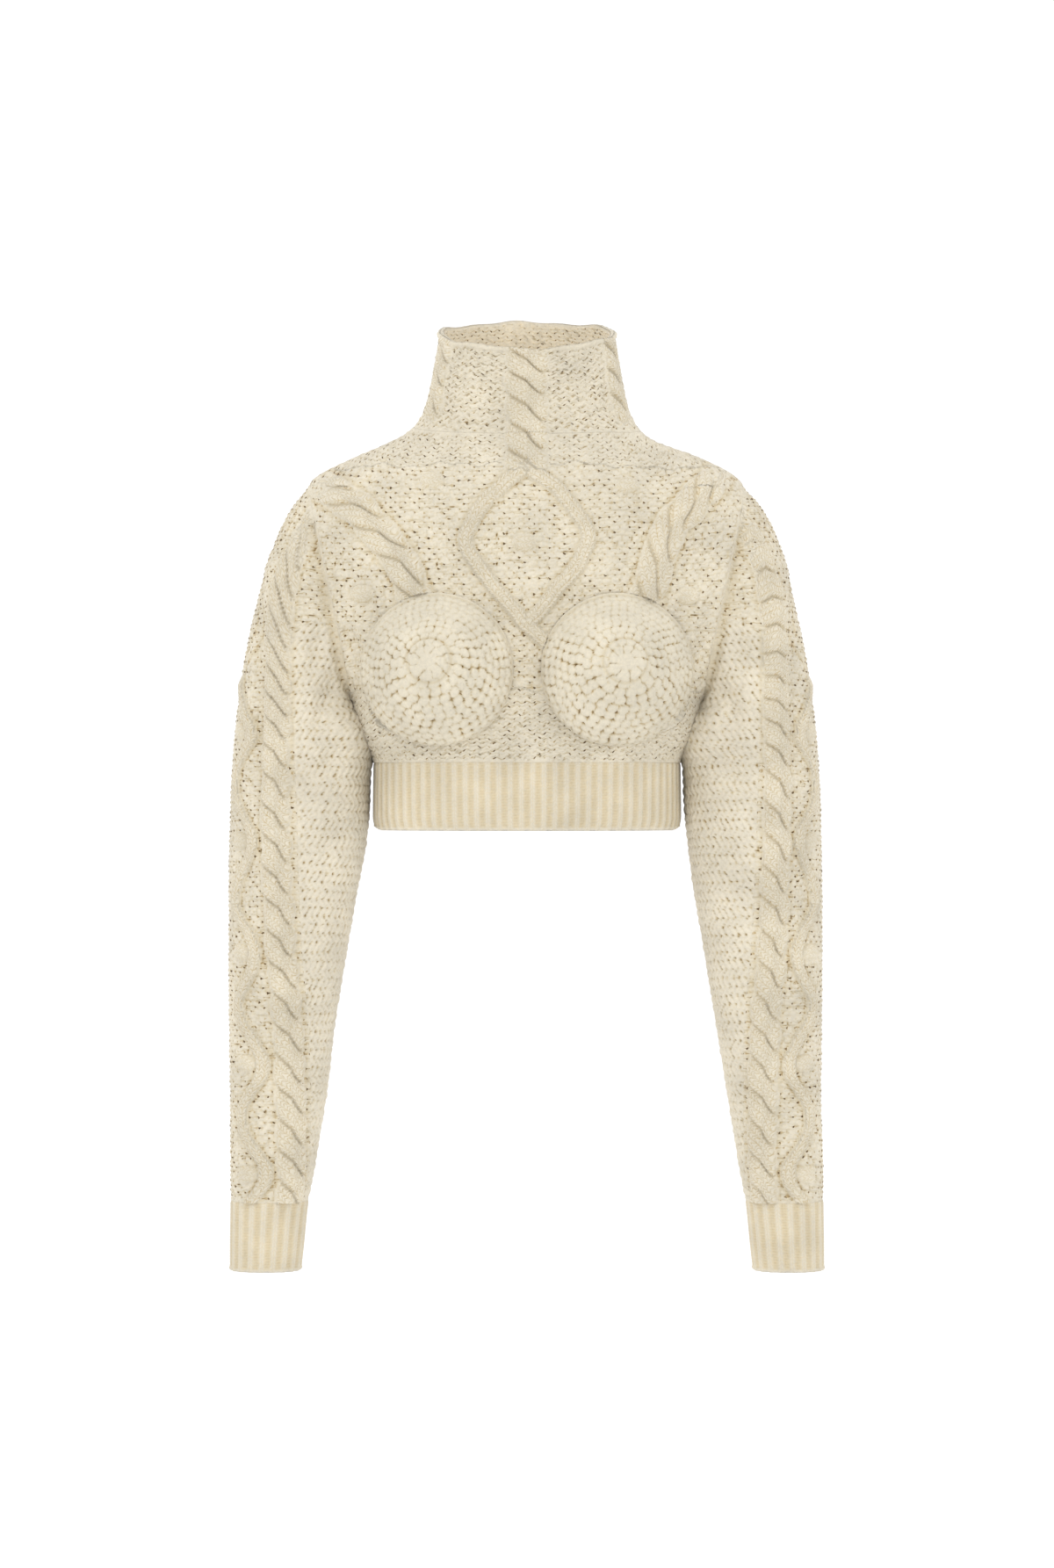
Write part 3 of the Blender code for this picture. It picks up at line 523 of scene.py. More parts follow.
def strand(away, along):
    """A travelling strand of plain knit: a low arch whose edges sink among the stitches beside it."""
    away = away + 0.6 * np.sin(along / 6.5) + 0.3 * np.sin(along / 2.9)
    part = capped(np.abs(away) / STRAND_HALF)
    height = STRAND_RISE * (1 - part**3) ** 0.7 - 0.6 * smooth(part, 0.75, 1.0)
    height = height + 0.45 * np.cos(math.pi * away / LEG)
    # Painted shade towards the strand's edges.
    depth = 0.03 + 0.12 * smooth(part, 0.7, 1.0)
    return layer(np.where(part < 1, height, NOTHING), depth, along, away + LEG, smooth(part, 1.0, 0.8))


def bobble(dx, dz):
    """A bobble: a low dome, wider than tall, of curved rows of yarn, with a painted shadow under its lower
    edge.
    """
    distance = capped(np.hypot(dx / BOBBLE_RADIUS, dz / (BOBBLE_RADIUS * 0.78)))
    height = BOBBLE_RISE * (1 - distance**2.4) ** 0.6
    # Painted shadow: darker towards the rim, most of all below.
    low = smooth(-dz, 0.0, 0.5 * BOBBLE_RADIUS)
    depth = 0.03 + (0.10 + 0.40 * low) * smooth(distance, 0.80, 1.0)
    kind = 0.8 * smooth(distance, 1.0, 0.75)
    return layer(np.where(distance < 1, height, NOTHING), depth, dx, dz - 0.045 * dx**2, kind)


def nearest_on(path, x, z):
    """Distance along a path, and signed distance from it, of the nearest point to each (x, z)."""
    best = np.full(x.shape, np.inf)
    along = np.zeros(x.shape)
    side = np.zeros(x.shape)
    start = 0.0
    for a, b in zip(path[:-1], path[1:]):
        length = math.dist(a, b)
        way = (b - a) / length
        t = np.clip((x - a[0]) * way[0] + (z - a[1]) * way[1], 0, length)
        dx = x - a[0] - way[0] * t
        dz = z - a[1] - way[1] * t
        distance = np.hypot(dx, dz)
        nearer = distance < best
        best = np.where(nearer, distance, best)
        along = np.where(nearer, start + t, along)
        side = np.where(nearer, distance * np.sign(way[0] * dz - way[1] * dx), side)
        start += length
    return along, side


def rounded(path, count=40):
    """The path through the same points with its corners eased: each coordinate on a limited-slope curve."""
    knots = np.concatenate([[0], np.cumsum(np.hypot(*np.diff(path, axis=0).T))])
    at = np.linspace(0, knots[-1], count)
    return np.stack([curve(knots, path[:, 0], at), curve(knots, path[:, 1], at)], -1)


# --- meshes ---


def strip_faces(fine, fine_at, coarse, coarse_at):
    """Triangles between two edges that run side by side, one with more points than the other."""
    faces = []
    i = j = 0
    while i < len(fine) - 1 or j < len(coarse) - 1:
        coarse_left = j < len(coarse) - 1
        if coarse_left and (i == len(fine) - 1 or fine_at[i] >= (coarse_at[j] + coarse_at[j + 1]) / 2):
            faces.append((fine[i], coarse[j], coarse[j + 1]))
            j += 1
        else:
            faces.append((fine[i], coarse[j], fine[i + 1]))
            i += 1
    return np.array(faces)


def grid_faces(numbers):
    """Two triangles for each cell of a grid of point numbers."""
    a, b = numbers[:-1, :-1], numbers[:-1, 1:]
    c, d = numbers[1:, 1:], numbers[1:, :-1]
    halves = [np.stack([a, b, c], -1), np.stack([a, c, d], -1)]
    return np.concatenate([half.reshape(-1, 3) for half in halves])


def show(name, data, place=(0.0, 0.0, 0.0)):
    """Puts a mesh, camera or light into the scene."""
    made = bpy.data.objects.new(name, data)
    made.location = place
    bpy.context.scene.collection.objects.link(made)
    return made


def make_mesh(name, points, faces, depth, yarn, material):
    """One closed piece in metres, with a depth in the knit for painted shade and yarn coordinates on each
    point.
    """
    distinct = (faces[:, 0] != faces[:, 1]) & (faces[:, 1] != faces[:, 2]) & (faces[:, 0] != faces[:, 2])
    faces = faces[distinct]
    used, faces = np.unique(faces, return_inverse=True)
    faces = faces.reshape(-1, 3)
    points = points[used]
    corners = points[faces]
    volume = np.einsum("ij,ij->i", corners[:, 0], np.cross(corners[:, 1], corners[:, 2])).sum()
    if volume < 0:
        faces = faces[:, ::-1]
    mesh = bpy.data.meshes.new(name)
    mesh.vertices.add(len(points))
    mesh.vertices.foreach_set("co", (points * MM).ravel())
    mesh.loops.add(faces.size)
    mesh.loops.foreach_set("vertex_index", faces.ravel().astype(np.int32))
    mesh.polygons.add(len(faces))
    mesh.polygons.foreach_set("loop_start", np.arange(0, faces.size, 3, dtype=np.int32))
    mesh.polygons.foreach_set("use_smooth", np.ones(len(faces), bool))
    mesh.update(calc_edges=True)
    mesh.validate()
    mesh.attributes.new("depth", "FLOAT", "POINT").data.foreach_set("value", depth[used].astype(np.float32))
    lay = yarn[used].ravel().astype(np.float32)
    mesh.attributes.new("lay", "FLOAT_VECTOR", "POINT").data.foreach_set("vector", lay)
    mesh.materials.append(material)
    return show(name, mesh)


def every(count, step, also=0):
    """Every step-th number below count, the last one, and one more."""
    return np.array(sorted({*range(0, count, step), count - 1, also}))


def wall(name, base, outward, knit, thick, numbers, steps, material, open_from=0, inside=None):
    """A wall of knit on a grid: its outer points raised by the stitches, its inner ones a thickness behind.

    Of the inner grid only every few rows and columns are used, as steps says. The grid's numbers repeat
    where a row ends before the widest one does, and where a tube closes; such empty cells are left out. The
    two side edges get a rim from the row open_from on, or none where that is None. The inside is plain
    unless given.
    """
    if inside is None:
        inside = layer(0.0, INSIDE_DEPTH, knit[..., 2], knit[..., 3])
    rows = every(base.shape[0], steps[0], open_from or 0)
    columns = every(base.shape[1], steps[1])
    coarse = numbers.size + numbers[np.ix_(rows, columns)]
    faces = [grid_faces(numbers), grid_faces(coarse)[:, ::-1]]
    column_at = np.arange(numbers.shape[1])
    for end, way in ((0, -1), (-1, 1)):
        faces.append(strip_faces(numbers[end], column_at, coarse[end], columns)[:, ::way])
    if open_from is not None:
        first = int(np.searchsorted(rows, open_from))
        row_at = np.arange(open_from, numbers.shape[0])
        for end, way in ((0, 1), (-1, -1)):
            strip = strip_faces(numbers[open_from:, end], row_at, coarse[first:, end], rows[first:])
            faces.append(strip[:, ::way])
    outer, inner = base + outward * knit[..., :1], base - thick * outward
    points = np.concatenate([side.reshape(-1, 3) for side in (outer, inner)])
    layers = np.concatenate([side.reshape(-1, 5) for side in (knit, inside)])
    return make_mesh(name, points, np.concatenate(faces), layers[:, 1], layers[:, 2:], material)


def grid_numbers(shape, closed=True):
    """Numbers of a grid's points; the last column of a closed tube is its first."""
    numbers = np.arange(shape[0] * shape[1]).reshape(shape)
    if closed:
        numbers[:, -1] = numbers[:, 0]
    return numbers


def panel_grid(face, stitch_cells):
    """Rows and columns of a body panel that keep step with its stitches.

    Rows are rings an equal path apart up the middle. Columns are equal lengths round the ring from the
    middle, and end at the panel's edge, where the rest of the row's columns gather in one point.
    """
    fine = np.linspace(HEM_RIB_TOP, 0.0, SAMPLES)
    climbed = path_length(body_points(fine, 0.0, face), 0)
    up = np.arange(0, climbed[-1], ROW / ROW_CELLS)
    up[-1] = climbed[-1]
    rows = np.interp(up, climbed, fine)
    across_fine = np.linspace(-1, 1, SAMPLES // 2 + 1)
    middle = len(across_fine) // 2
    around = path_length(body_points(rows[:, None], across_fine, face, domes=False), 1)
    around -= around[:, middle:middle + 1]
    width = STITCH / stitch_cells
    reach = int(math.ceil(around.max() / width))
    columns = np.arange(-reach, reach + 1)
    first = np.floor(around[:, 0] / width).astype(int)
    last = np.ceil(around[:, -1] / width).astype(int)
    s = np.clip(columns[None, :] * width, around[:, :1], around[:, -1:])
    across = by_row(s, around, across_fine)
    clipped = np.clip(columns[None, :], first[:, None], last[:, None]) + reach
    numbers = np.arange(len(rows))[:, None] * len(columns) + clipped
    v = np.broadcast_to(up[:, None], s.shape)
    return np.broadcast_to(rows[:, None], s.shape), across, s, v, numbers, around[:, -1:]


# --- materials ---


def linear(hex_colour):
    """An sRGB hex colour as linear red, green, blue and full alpha."""
    parts = [int(hex_colour[i:i + 2], 16) / 255 for i in (1, 3, 5)]
    return [p / 12.92 if p <= 0.04045 else ((p + 0.055) / 1.055) ** 2.4 for p in parts] + [1.0]


def add(tree, kind, *values, output=0, **named):
    """Adds a node and gives one of its outputs.

    The kind may name an operation after a space. Values and other nodes' outputs go to the inputs in order,
    where None leaves one as it is, or to an input or a setting by its name.
    """
    kind, _, operation = kind.partition(" ")
    node = tree.nodes.new("ShaderNode" + kind)
    if operation:
        node.operation = operation
    pairs = list(zip(node.inputs, values))
    for name, value in named.items():
        if name in node.inputs:
            pairs.append((node.inputs[name], value))
        else:
            setattr(node, name, value)
    for socket, value in pairs:
        if isinstance(value, bpy.types.NodeSocket):
            tree.links.new(value, socket)
        elif value is not None:
            socket.default_value = value
    return node.outputs[output]


def yarn_material(name, ply, *colours):
    """Marled cotton and wool yarn, soft spun and knitted: matt, with short fibres that lie along each
    strand.

    It paints the yarn by the depth in the knit: a chalky cream crown, lit, a warmer flank in painted shade
    and a brown painted shadow in the holes. Plies are about 1 mm across and lumps of lighter and darker fibre
    2 to
    3 mm, with a fuzz of fibres under 1 mm in the relief; roughness 0.9 and IOR 1.5 are usual for cotton.
    Plain stitches have slanting lines of painted shade that mirror at each groove between their columns: the
    sine of the place along, plus the distance from the groove. Purl has a faint line of painted shade between
    rows, a cosine of the row, and dots of painted shade where stitches meet, a product of two cosines. The
    same lines also give the bump.
    """
    material = bpy.data.materials.new(name)
    material.use_nodes = True
    tree = material.node_tree
    node = functools.partial(add, tree)
    shader = tree.nodes["Principled BSDF"]
    for setting, value in YARN_SURFACE.items():
        shader.inputs[setting].default_value = value
    place = node("TexCoord", output="Object")
    depth = node("Attribute", attribute_name="depth", output="Fac")
    lay = node("Attribute", attribute_name="lay", output="Vector")
    along, across, kind = node("SeparateXYZ", lay).node.outputs
    marl = node("TexNoise", place, Scale=420.0, Detail=3.0, Roughness=0.6)
    cloud = node("TexNoise", place, Scale=28.0, Detail=2.0)
    drawn_out = node("Mapping", lay, Scale=(0.12, 1.0, 0.0))
    streaks = node("TexNoise", drawn_out, Scale=ply, Detail=4.0, Roughness=0.62)
    fuzz = node("TexNoise", place, Scale=1500.0, Detail=2.0, Roughness=0.7)
    plain = node("MapRange", kind, 0.1, 1.0, 0.0, 1.0)
    reverse = node("MapRange", kind, -1.0, -0.9, 1.0, 0.0)
    grain = node("Mix", plain, None, marl, streaks)

    # Painted shade lines between the legs of plain stitches.
    wander = node("TexNoise", lay, Scale=0.16, Detail=2.0)
    from_groove = node("Math PINGPONG", across, LEG)
    leg = node("Math MULTIPLY_ADD", from_groove, 0.32, node("Math MULTIPLY", wander, 2.6))
    leg = node("Math MULTIPLY_ADD", along, 1.0 / LEG_ROW, leg)
    leg_line = node("MapRange", node("Math SINE", node("Math MULTIPLY", leg, TURN)), -1.0, -0.1, 1.0, 0.0)
    leg_line = node("Math MAXIMUM", leg_line, node("MapRange", from_groove, 0.0, 0.8, 0.9, 0.0))
    broken = node("Math MULTIPLY", plain, node("MapRange", streaks, 0.3, 0.7, 0.10, 0.72))
    legs = node("Math MULTIPLY", leg_line, broken)

    # Painted shade lines between purl rows, and dots of painted shade where stitches meet.
    chosen = node("TexNoise", lay, Scale=0.9, Detail=2.0)
    strength = node("MapRange", chosen, 0.36, 0.66, 0.05, 1.6)
    row_at = node("Math MULTIPLY_ADD", chosen, 0.7, across)
    stitch_at = node("Math MULTIPLY_ADD", marl, 0.5, along)
    row_wave = node("Math COSINE", node("Math MULTIPLY", row_at, TURN))
    row_line = node("Math MULTIPLY", node("MapRange", row_wave, -1.0, -0.5, 1.0, 0.0), 0.32)
    half_row = node("Math COSINE", node("Math MULTIPLY", across, math.pi))
    stitch_wave = node("Math COSINE", node("Math MULTIPLY", stitch_at, TURN))
    ends = node("MapRange", node("Math MULTIPLY", half_row, stitch_wave), -1.0, -0.72, 1.0, 0.0)
    dot = node("Math MULTIPLY", ends, node("Math MULTIPLY", strength, 0.88))
    purls = node("Math MULTIPLY", node("Math MULTIPLY_ADD", row_line, strength, dot), reverse)

    # All the painted shade lines, added to the marl's own tone; the lines also give the bump below.
    marks = node("Math ADD", legs, purls)
    shade = node("Math ADD", node("Math MULTIPLY_ADD", marl, 0.30, -0.15), marks)
    # The depth and the lines pick a colour from the lit crown to the painted shadow of the holes.
    colour = node("ValToRGB", node("Math ADD", depth, shade, use_clamp=True))
    elements = colour.node.color_ramp.elements
    while len(elements) < len(colours):
        elements.new(0.5)
    for element, share, hex_colour in zip(elements, YARN_DEPTHS, colours):
        element.position = share
        element.color = linear(hex_colour)
    level = node("MapRange", node("Math ADD", grain, cloud), 0.6, 1.4, 0.82, 1.14)
    tree.links.new(node("VectorMath SCALE", colour, Scale=level), shader.inputs["Base Color"])
    fine = node("Math MULTIPLY_ADD", fuzz, 0.35, grain)
    relief = node("Math MULTIPLY_ADD", marks, -1.0, fine)
    tree.links.new(node("Bump", Strength=0.7, Distance=0.0009, Height=relief), shader.inputs["Normal"])
    return material


YARN_SURFACE = {"Roughness": 0.92, "IOR": 1.5, "Specular IOR Level": 0.25, "Sheen Weight": 0.12,
                "Sheen Roughness": 0.6}
# Each yarn is one cream colour: the crown's is it lit, and the flank's, trough's and hole's are it in deeper
# painted shade.
YARN_DEPTHS = (0.0, 0.34, 0.68, 1.0)  # depths of the crown's, flank's, trough's and hole's colours
KNIT = yarn_material("cotton_wool_cable_knit", 1.0, "#D8D0BE", "#CEC2A7", "#AD966D", "#5C4830")
RIB = yarn_material("cotton_wool_rib_knit", 1.3, "#D8D0BE", "#CEC0A2", "#AD966D", "#6A5232")
CROCHET = yarn_material("cotton_wool_crochet", 1.0, "#D6CEBB", "#CCC0A5", "#AD966D", "#5C4830")


# --- front and back ---


def soft_folds(x, z, folds):
    """Soft troughs and ridges: along each line a bell curve across it, eased out towards both ends."""
    total = np.zeros_like(x)
    for x0, z0, x1, z1, width, rise in folds:
        path = np.array([(x0, z0), (x1, z1)], float)
        along, side = nearest_on(path, x, z)
        length = math.dist(path[0], path[1])
        ends = np.sin(math.pi * np.clip(along / length, 0.0, 1.0)) ** 0.8
        total = total + rise * ends * bell(side, width)
    return total


# Folds: x and z of both ends, width and rise.
FRONT_FOLDS = (
    (-150, -120, -118, -176, 9, -3.0), (152, -112, 122, -172, 8, -2.6), (-158, -160, -134, -206, 7, -2.2),
    (156, -168, 132, -210, 7, -2.0), (-142, -228, -110, -262, 8, -1.8), (144, -226, 112, -266, 8, -1.6),
    (-118, -24, -60, -12, 8, -1.8), (120, -22, 62, -12, 8, -1.6), (-40, -262, 40, -266, 9, 1.2),
)
BACK_FOLDS = (
    (-150, -110, -104, -190, 11, -3.0), (150, -120, 108, -186, 10, -2.8), (-70, -236, 70, -244, 12, 1.6),
    (-126, -206, -60, -232, 9, -1.8), (128, -212, 66, -236, 9, -1.8), (-90, -10, 90, -6, 10, -1.6),
)


def front_knit(points, s, v, fade):
    """The front's stitches: purl ground with ropes from the shoulders, a diamond and bobbles."""
    x, z = points[..., 0], points[..., 2]
    ragged = 1.5 * np.sin(x / 9.0) + 1.2 * np.sin(x / 3.7)
    ground = pick(purl(s, v, 0.0), fine_purl(s, v, 8.0), smooth(z + ragged, -29.0, -24.0))
    ground = seam(pick(ground, fine_purl(s, v, 9.0), smooth(z + ragged, -216.0, -221.0)), fade)
    neck = rope(x, -z, COLLAR_ROPE)
    neck[..., 0] -= 7.0 * smooth(z, COLLAR_ROPE_END + 12.0, COLLAR_ROPE_END)
    neck[..., 0] = np.where(z > COLLAR_ROPE_END, neck[..., 0], NOTHING)
    layers = [neck]
    for path in YOKE_ROPES:
        along, side = nearest_on(rounded(path), x, z)
        ground = shade_beside(ground, np.abs(side) - YOKE_ROPE[0] / 2, 2.2, 0.26)
        cable = rope(side, along, YOKE_ROPE)
        cable[..., 0] -= 4.0 * (1 - smooth(along, 0.0, ROPE_FADE))
        layers.append(cable)
    for path in (DIAMOND, np.concatenate([DIAMOND[:-1] * (-1, 1), DIAMOND_TAIL])):
        run, off = nearest_on(rounded(path), x, z)
        ground = shade_beside(ground, np.abs(off) - STRAND_HALF, 1.8, 0.24)
        layers.append(strand(off, run))
    for bobble_x, bobble_z in YOKE_BOBBLES:
        layers.append(bobble(x - bobble_x, z - bobble_z))
    return over(ground, *layers)


def back_knit(points, s, v, fade):
    """The back's stitches: purl ground and one rope cable down the middle."""
    cable = rope(-points[..., 0], BACK_NECK_Z - points[..., 2], COLLAR_ROPE)
    return over(seam(purl(s, v, 5.0), fade), cable)


def body_panel(node, face, stitches, folds, stitch_cells):
    """The front or the back: stitches and folds, filled out at the waist and raised beside the armholes."""
    rows, across, s, v, numbers, edge = panel_grid(face, stitch_cells)
    points = body_points(rows, across, face)
    outward = body_normals(rows, across, face)
    x, z = points[..., 0], points[..., 2]
    to_edge = edge - np.abs(s)
    fade = smooth(to_edge, 0.0, SEAM_FADE) * smooth(v, 0.0, 2.0) * smooth(v.max() - v, 0.0, 2.0)
    knit = stitches(points, s, v, fade)
    relief = 1.5 * soft_folds(x, z, folds)
    relief = relief + FILL * smooth(np.abs(x), 104.0, 130.0) * bell(z + 249.0, 21.0)
    if face < 0:
        under_cup = np.hypot(np.abs(x) - CUP_CENTRE[0], z - CUP_CENTRE[1]) < CUP_RADIUS - 1.5
        knit[..., 0] = np.where(under_cup, -1.0, knit[..., 0])
        relief = np.where(under_cup, 0.0, relief)
    relief = relief + 1.8 * beside_armhole(z) * bell(to_edge - 5.0, 5.0) * smooth(to_edge, 0.0, 4.0)
    moved = settle(points + outward * relief[..., None])
    moved[..., 1] -= face * LAP
    piece = wall(node + "_knit", moved, outward, knit, WALL, numbers, (6, 6), KNIT)
    finish_piece(piece, node)


def finish_piece(piece, node):
    """Ties a piece to the root and hides the solid that it stands for."""
    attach(piece, "root")
    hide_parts(node)


# --- sleeves and cuffs ---


def sleeve_grid(hand):
    """Rows and columns of a sleeve that keep step with its stitches, as it is knitted from the cuff up.

    A row is level with the cuff: every point of it lies the same path above. Where the cap is cut away by the
    armhole, rows end there; below it they close under the arm. Columns are equal lengths from the main rope.
    """
    stations = np.linspace(0, CUFF_AT, 500)[:, None]
    turns = np.linspace(-math.pi, math.pi, 721)
    down = path_length(sleeve_points(stations, turns, hand), 0)
    whole = down[-1]
    climb = np.append(np.arange(0, whole.max() - 2.0, ROW / ROW_CELLS), whole.max() - 1.0)
    up = whole - down
    reach = np.array([np.interp(climb, up[::-1, k], stations[::-1, 0]) for k in range(len(turns))]).T
    rope_turn = np.radians(curve(STATIONS, SLEEVE["rope_turn"], reach))
    grids = []
    rope_off = None
    open_from = int(np.searchsorted(climb, whole.min()))
    for i in range(len(climb)):
        inside = np.flatnonzero(whole >= climb[i])
        low, high = turns[0], turns[-1]
        if len(inside) < len(turns):
            k, m = inside[0], inside[-1]
            low = np.interp(climb[i], whole[k - 1:k + 1], turns[k - 1:k + 1])
            high = np.interp(climb[i], whole[m:m + 2][::-1], turns[m:m + 2][::-1])
        turn = np.linspace(low, high, len(turns))
        at = np.interp(turn, turns, reach[i])
        if len(inside) < len(turns):
            at[0] = at[-1] = 0.0
        arc = path_length(sleeve_points(at, turn, hand), 0)
        from_rope = turn - np.interp(turn, turns, rope_turn[i])
        outer_arc = np.interp(0.0, turn, arc)
        if from_rope[-1] > 0:
            rope_off = np.interp(0.0, from_rope, arc) - outer_arc
        grids.append((turn, at, arc - outer_arc - rope_off))
    turn, at, arc = (np.array(kind) for kind in zip(*grids))
    width = STITCH / BACK_CELLS
    first = np.floor(arc[:, 0] / width).astype(int)
    last = np.ceil(arc[:, -1] / width).astype(int)
    columns = np.arange(first.min(), last.max() + 1)
    s = np.clip(columns * width, arc[:, :1], arc[:, -1:])
    turn, at = by_row(s, arc, turn), by_row(s, arc, at)
    place = np.clip(columns[None, :], first[:, None], last[:, None]) - first.min()
    numbers = np.arange(len(climb))[:, None] * len(columns) + place
    ends = numbers.max(1, keepdims=True)
    closed = np.arange(len(climb))[:, None] < open_from
    numbers = np.where(closed & (numbers == ends), numbers.min(1, keepdims=True), numbers)
    v = np.broadcast_to(climb[:, None], s.shape)
    to_armhole = np.interp(turn, turns, whole) - v
    to_seam = np.minimum(s - s[:, :1], s[:, -1:] - s)
    return {"at": at, "turn": turn, "s": s, "v": v, "numbers": numbers, "open_from": max(open_from - 1, 0),
            "to_armhole": to_armhole, "to_seam": to_seam, "around": s[:, -1] - s[:, 0]}


def sleeve_knit(grid, z, hand, fade):
    """A sleeve's stitches: purl with a main rope, and slanting rows under the arm.

    A strand waves beside the rope as a cosine of the way down, with a bobble in each of its bays.
    """
    at, s, v = grid["at"], grid["s"], grid["v"]
    ground = purl(s, v, 11.0 + hand)
    under_arm = (smooth(s, 17.0, 21.0) + smooth(-s, 104.0, 110.0)) * smooth(-z, 150.0, 176.0)
    under_arm = under_arm + 0.25 * np.sin(s / 5.0) * smooth(-z, 200.0, 170.0)
    ground = pick(ground, braid(s, v, 3.0 + hand), under_arm)
    shift = 6.0 * smooth(at, 300.0, 150.0)
    main = rope(-hand * (s - shift), at, SLEEVE_ROPE)
    main[..., 0] -= 4.0 * smooth(at, SLEEVE_ROPE_START + 3 * ROPE_FADE, SLEEVE_ROPE_START)
    away = s - WAVE_OFFSET - WAVE_SWING * np.cos(TURN * (at - WAVE_FIRST) / WAVE_PITCH)
    wave = strand(away, at)
    begin = smooth(at, WAVE_START + ROPE_FADE, WAVE_START)
    wave[..., 0] -= 5.0 * begin
    bay = (at - WAVE_FIRST + WAVE_PITCH / 2) % WAVE_PITCH - WAVE_PITCH / 2
    knob = bobble(s - WAVE_OFFSET + 0.5 * WAVE_SWING, bay)
    knob[..., 0] -= 8.0 * begin
    ground = shade_beside(ground, np.abs(s - shift) - SLEEVE_ROPE[0] / 2, 1.8, 0.22)
    ground = shade_beside(ground, np.abs(away) - STRAND_HALF, 2.2, 0.34)
    return over(seam(ground, fade), main, wave, knob)


# Folds in the front of each sleeve, by its hand, and in the back of both: as the body's, with x outwards.
SLEEVE_FOLDS = {
    -1: ((229, -100, 229, -330, 6, -2.6), (222, -96, 206, -190, 10, 1.8), (160, -200, 182, -256, 9, -2.8),
         (150, -262, 190, -300, 10, -2.4), (148, -330, 178, -352, 9, -1.6), (168, -150, 186, -212, 8, -2.4),
         (250, -300, 236, -420, 8, -1.6), (196, -100, 180, -160, 9, 1.6), (172, -470, 196, -500, 8, -1.4)),
    1: ((230, -92, 231, -318, 6, -2.4), (224, -100, 208, -196, 10, 1.6), (158, -206, 184, -250, 9, -2.6),
        (148, -270, 186, -296, 10, -2.2), (146, -322, 180, -350, 9, -1.8), (170, -146, 188, -206, 8, -2.2),
        (251, -320, 238, -430, 8, -1.8), (198, -104, 184, -158, 9, 1.4), (174, -482, 198, -506, 8, -1.2)),
}
SLEEVE_BACK_FOLDS = ((162, -190, 190, -262, 11, -3.0), (150, -270, 200, -306, 11, -2.6),
                     (150, -336, 200, -360, 10, -2.2), (206, -110, 200, -230, 12, -2.0),
                     (226, -300, 216, -430, 9, -1.6))


def sleeve(side, hand):
    """A sleeve in its grid, with its stitches and folds and a valley along the armhole."""
    grid = sleeve_grid(hand)
    points = sleeve_points(grid["at"], grid["turn"], hand)
    outward = sleeve_normals(grid["at"], grid["turn"], hand)
    x, z = points[..., 0] * hand, points[..., 2]
    front = smooth(-points[..., 1], -6.0, 14.0)
    folds = soft_folds(x, z, SLEEVE_FOLDS[hand]) * front + soft_folds(x, z, SLEEVE_BACK_FOLDS) * (1 - front)
    to_armhole = grid["to_armhole"]
    fade = smooth(to_armhole, 0.0, SEAM_FADE) * smooth(grid["v"], 0.0, 2.0)
    fade = fade * np.where(to_armhole > 12, smooth(grid["to_seam"], 0.0, SEAM_FADE), 1.0)
    valley = beside_armhole(z) * bell(to_armhole - 5.0, 6.0)
    knit = sleeve_knit(grid, z, hand, fade)
    # Painted shade in the valley beside the armhole.
    knit[..., 1] = capped(knit[..., 1] + 0.20 * valley)
    toward_body = smooth(np.cos(grid["turn"]), -0.30, -0.85) * (0.4 + 0.6 * front)
    fill = FILL * toward_body * bell(z + 253.0, 27.0)
    relief = 1.7 * folds * smooth(to_armhole, 2.0, 30.0) - 3.0 * valley * smooth(to_armhole, 0.0, 4.0)
    moved = settle(points + outward * (relief + fill)[..., None])
    moved[..., 0] -= hand * LAP * (to_armhole < 1.0)
    moved[0, :, 2] -= LAP
    name, numbers = "sleeve_" + side, grid["numbers"]
    piece = wall(name + "_knit", moved, outward, knit, WALL, numbers, (6, 6), KNIT, grid["open_from"])
    finish_piece(piece, name)


def rib(u, v, length):
    """Ribbing: a raised column of plain stitches in each pitch, and a purl trough between.

    The column's back is a flattened cosine, crossed by short slanting stitches. The free edge, where v is
    0, is rounded off by a quarter circle, with a small scallop under each column.
    """
    part = u - np.floor(u) - 0.5
    column = smooth(0.5 + 0.5 * np.cos(TURN * part), 0.26, 0.80)
    leg_at = 2 * np.clip((part + 0.25) * 2, 0, 0.999)
    lines = arch(2 * (leg_at - np.floor(leg_at)) - 1)
    chain = 0.5 + 0.5 * np.cos(TURN * (v / RIB_ROW + 1.3 * np.abs(part)))
    purls = 0.5 + 0.5 * np.cos(TURN * (v / RIB_ROW + 0.5 * np.round(u)))
    height = column * (1.0 + 0.25 * chain + 0.25 * lines) + 0.3 * purls * (1 - column) - 0.1
    # Painted shade in the purl troughs, with random darker specks, and a little between the column's
    # stitches.
    speck = chance(np.round(2 * v / RIB_ROW), np.round(5 * u), 2.0)
    trough = 0.25 + 0.10 * (1 - purls) + 0.10 * speck
    depth = (1 - column) * trough + column * (0.03 * (1 - chain) + 0.04 * (1 - lines))
    round_off = 1 - arch(1 - capped(v / 2.6))
    scallop = smooth(v, 4.2, 2.2) * (0.35 + 0.4 * column)
    height = SEAM_HEIGHT + (height - SEAM_HEIGHT) * smooth(length - v, 0.0, 2.0) + scallop - 1.7 * round_off
    return layer(height, capped(depth * smooth(v, 1.0, 4.0)), v, 4 * LEG * u, 0.10 + 0.32 * column)


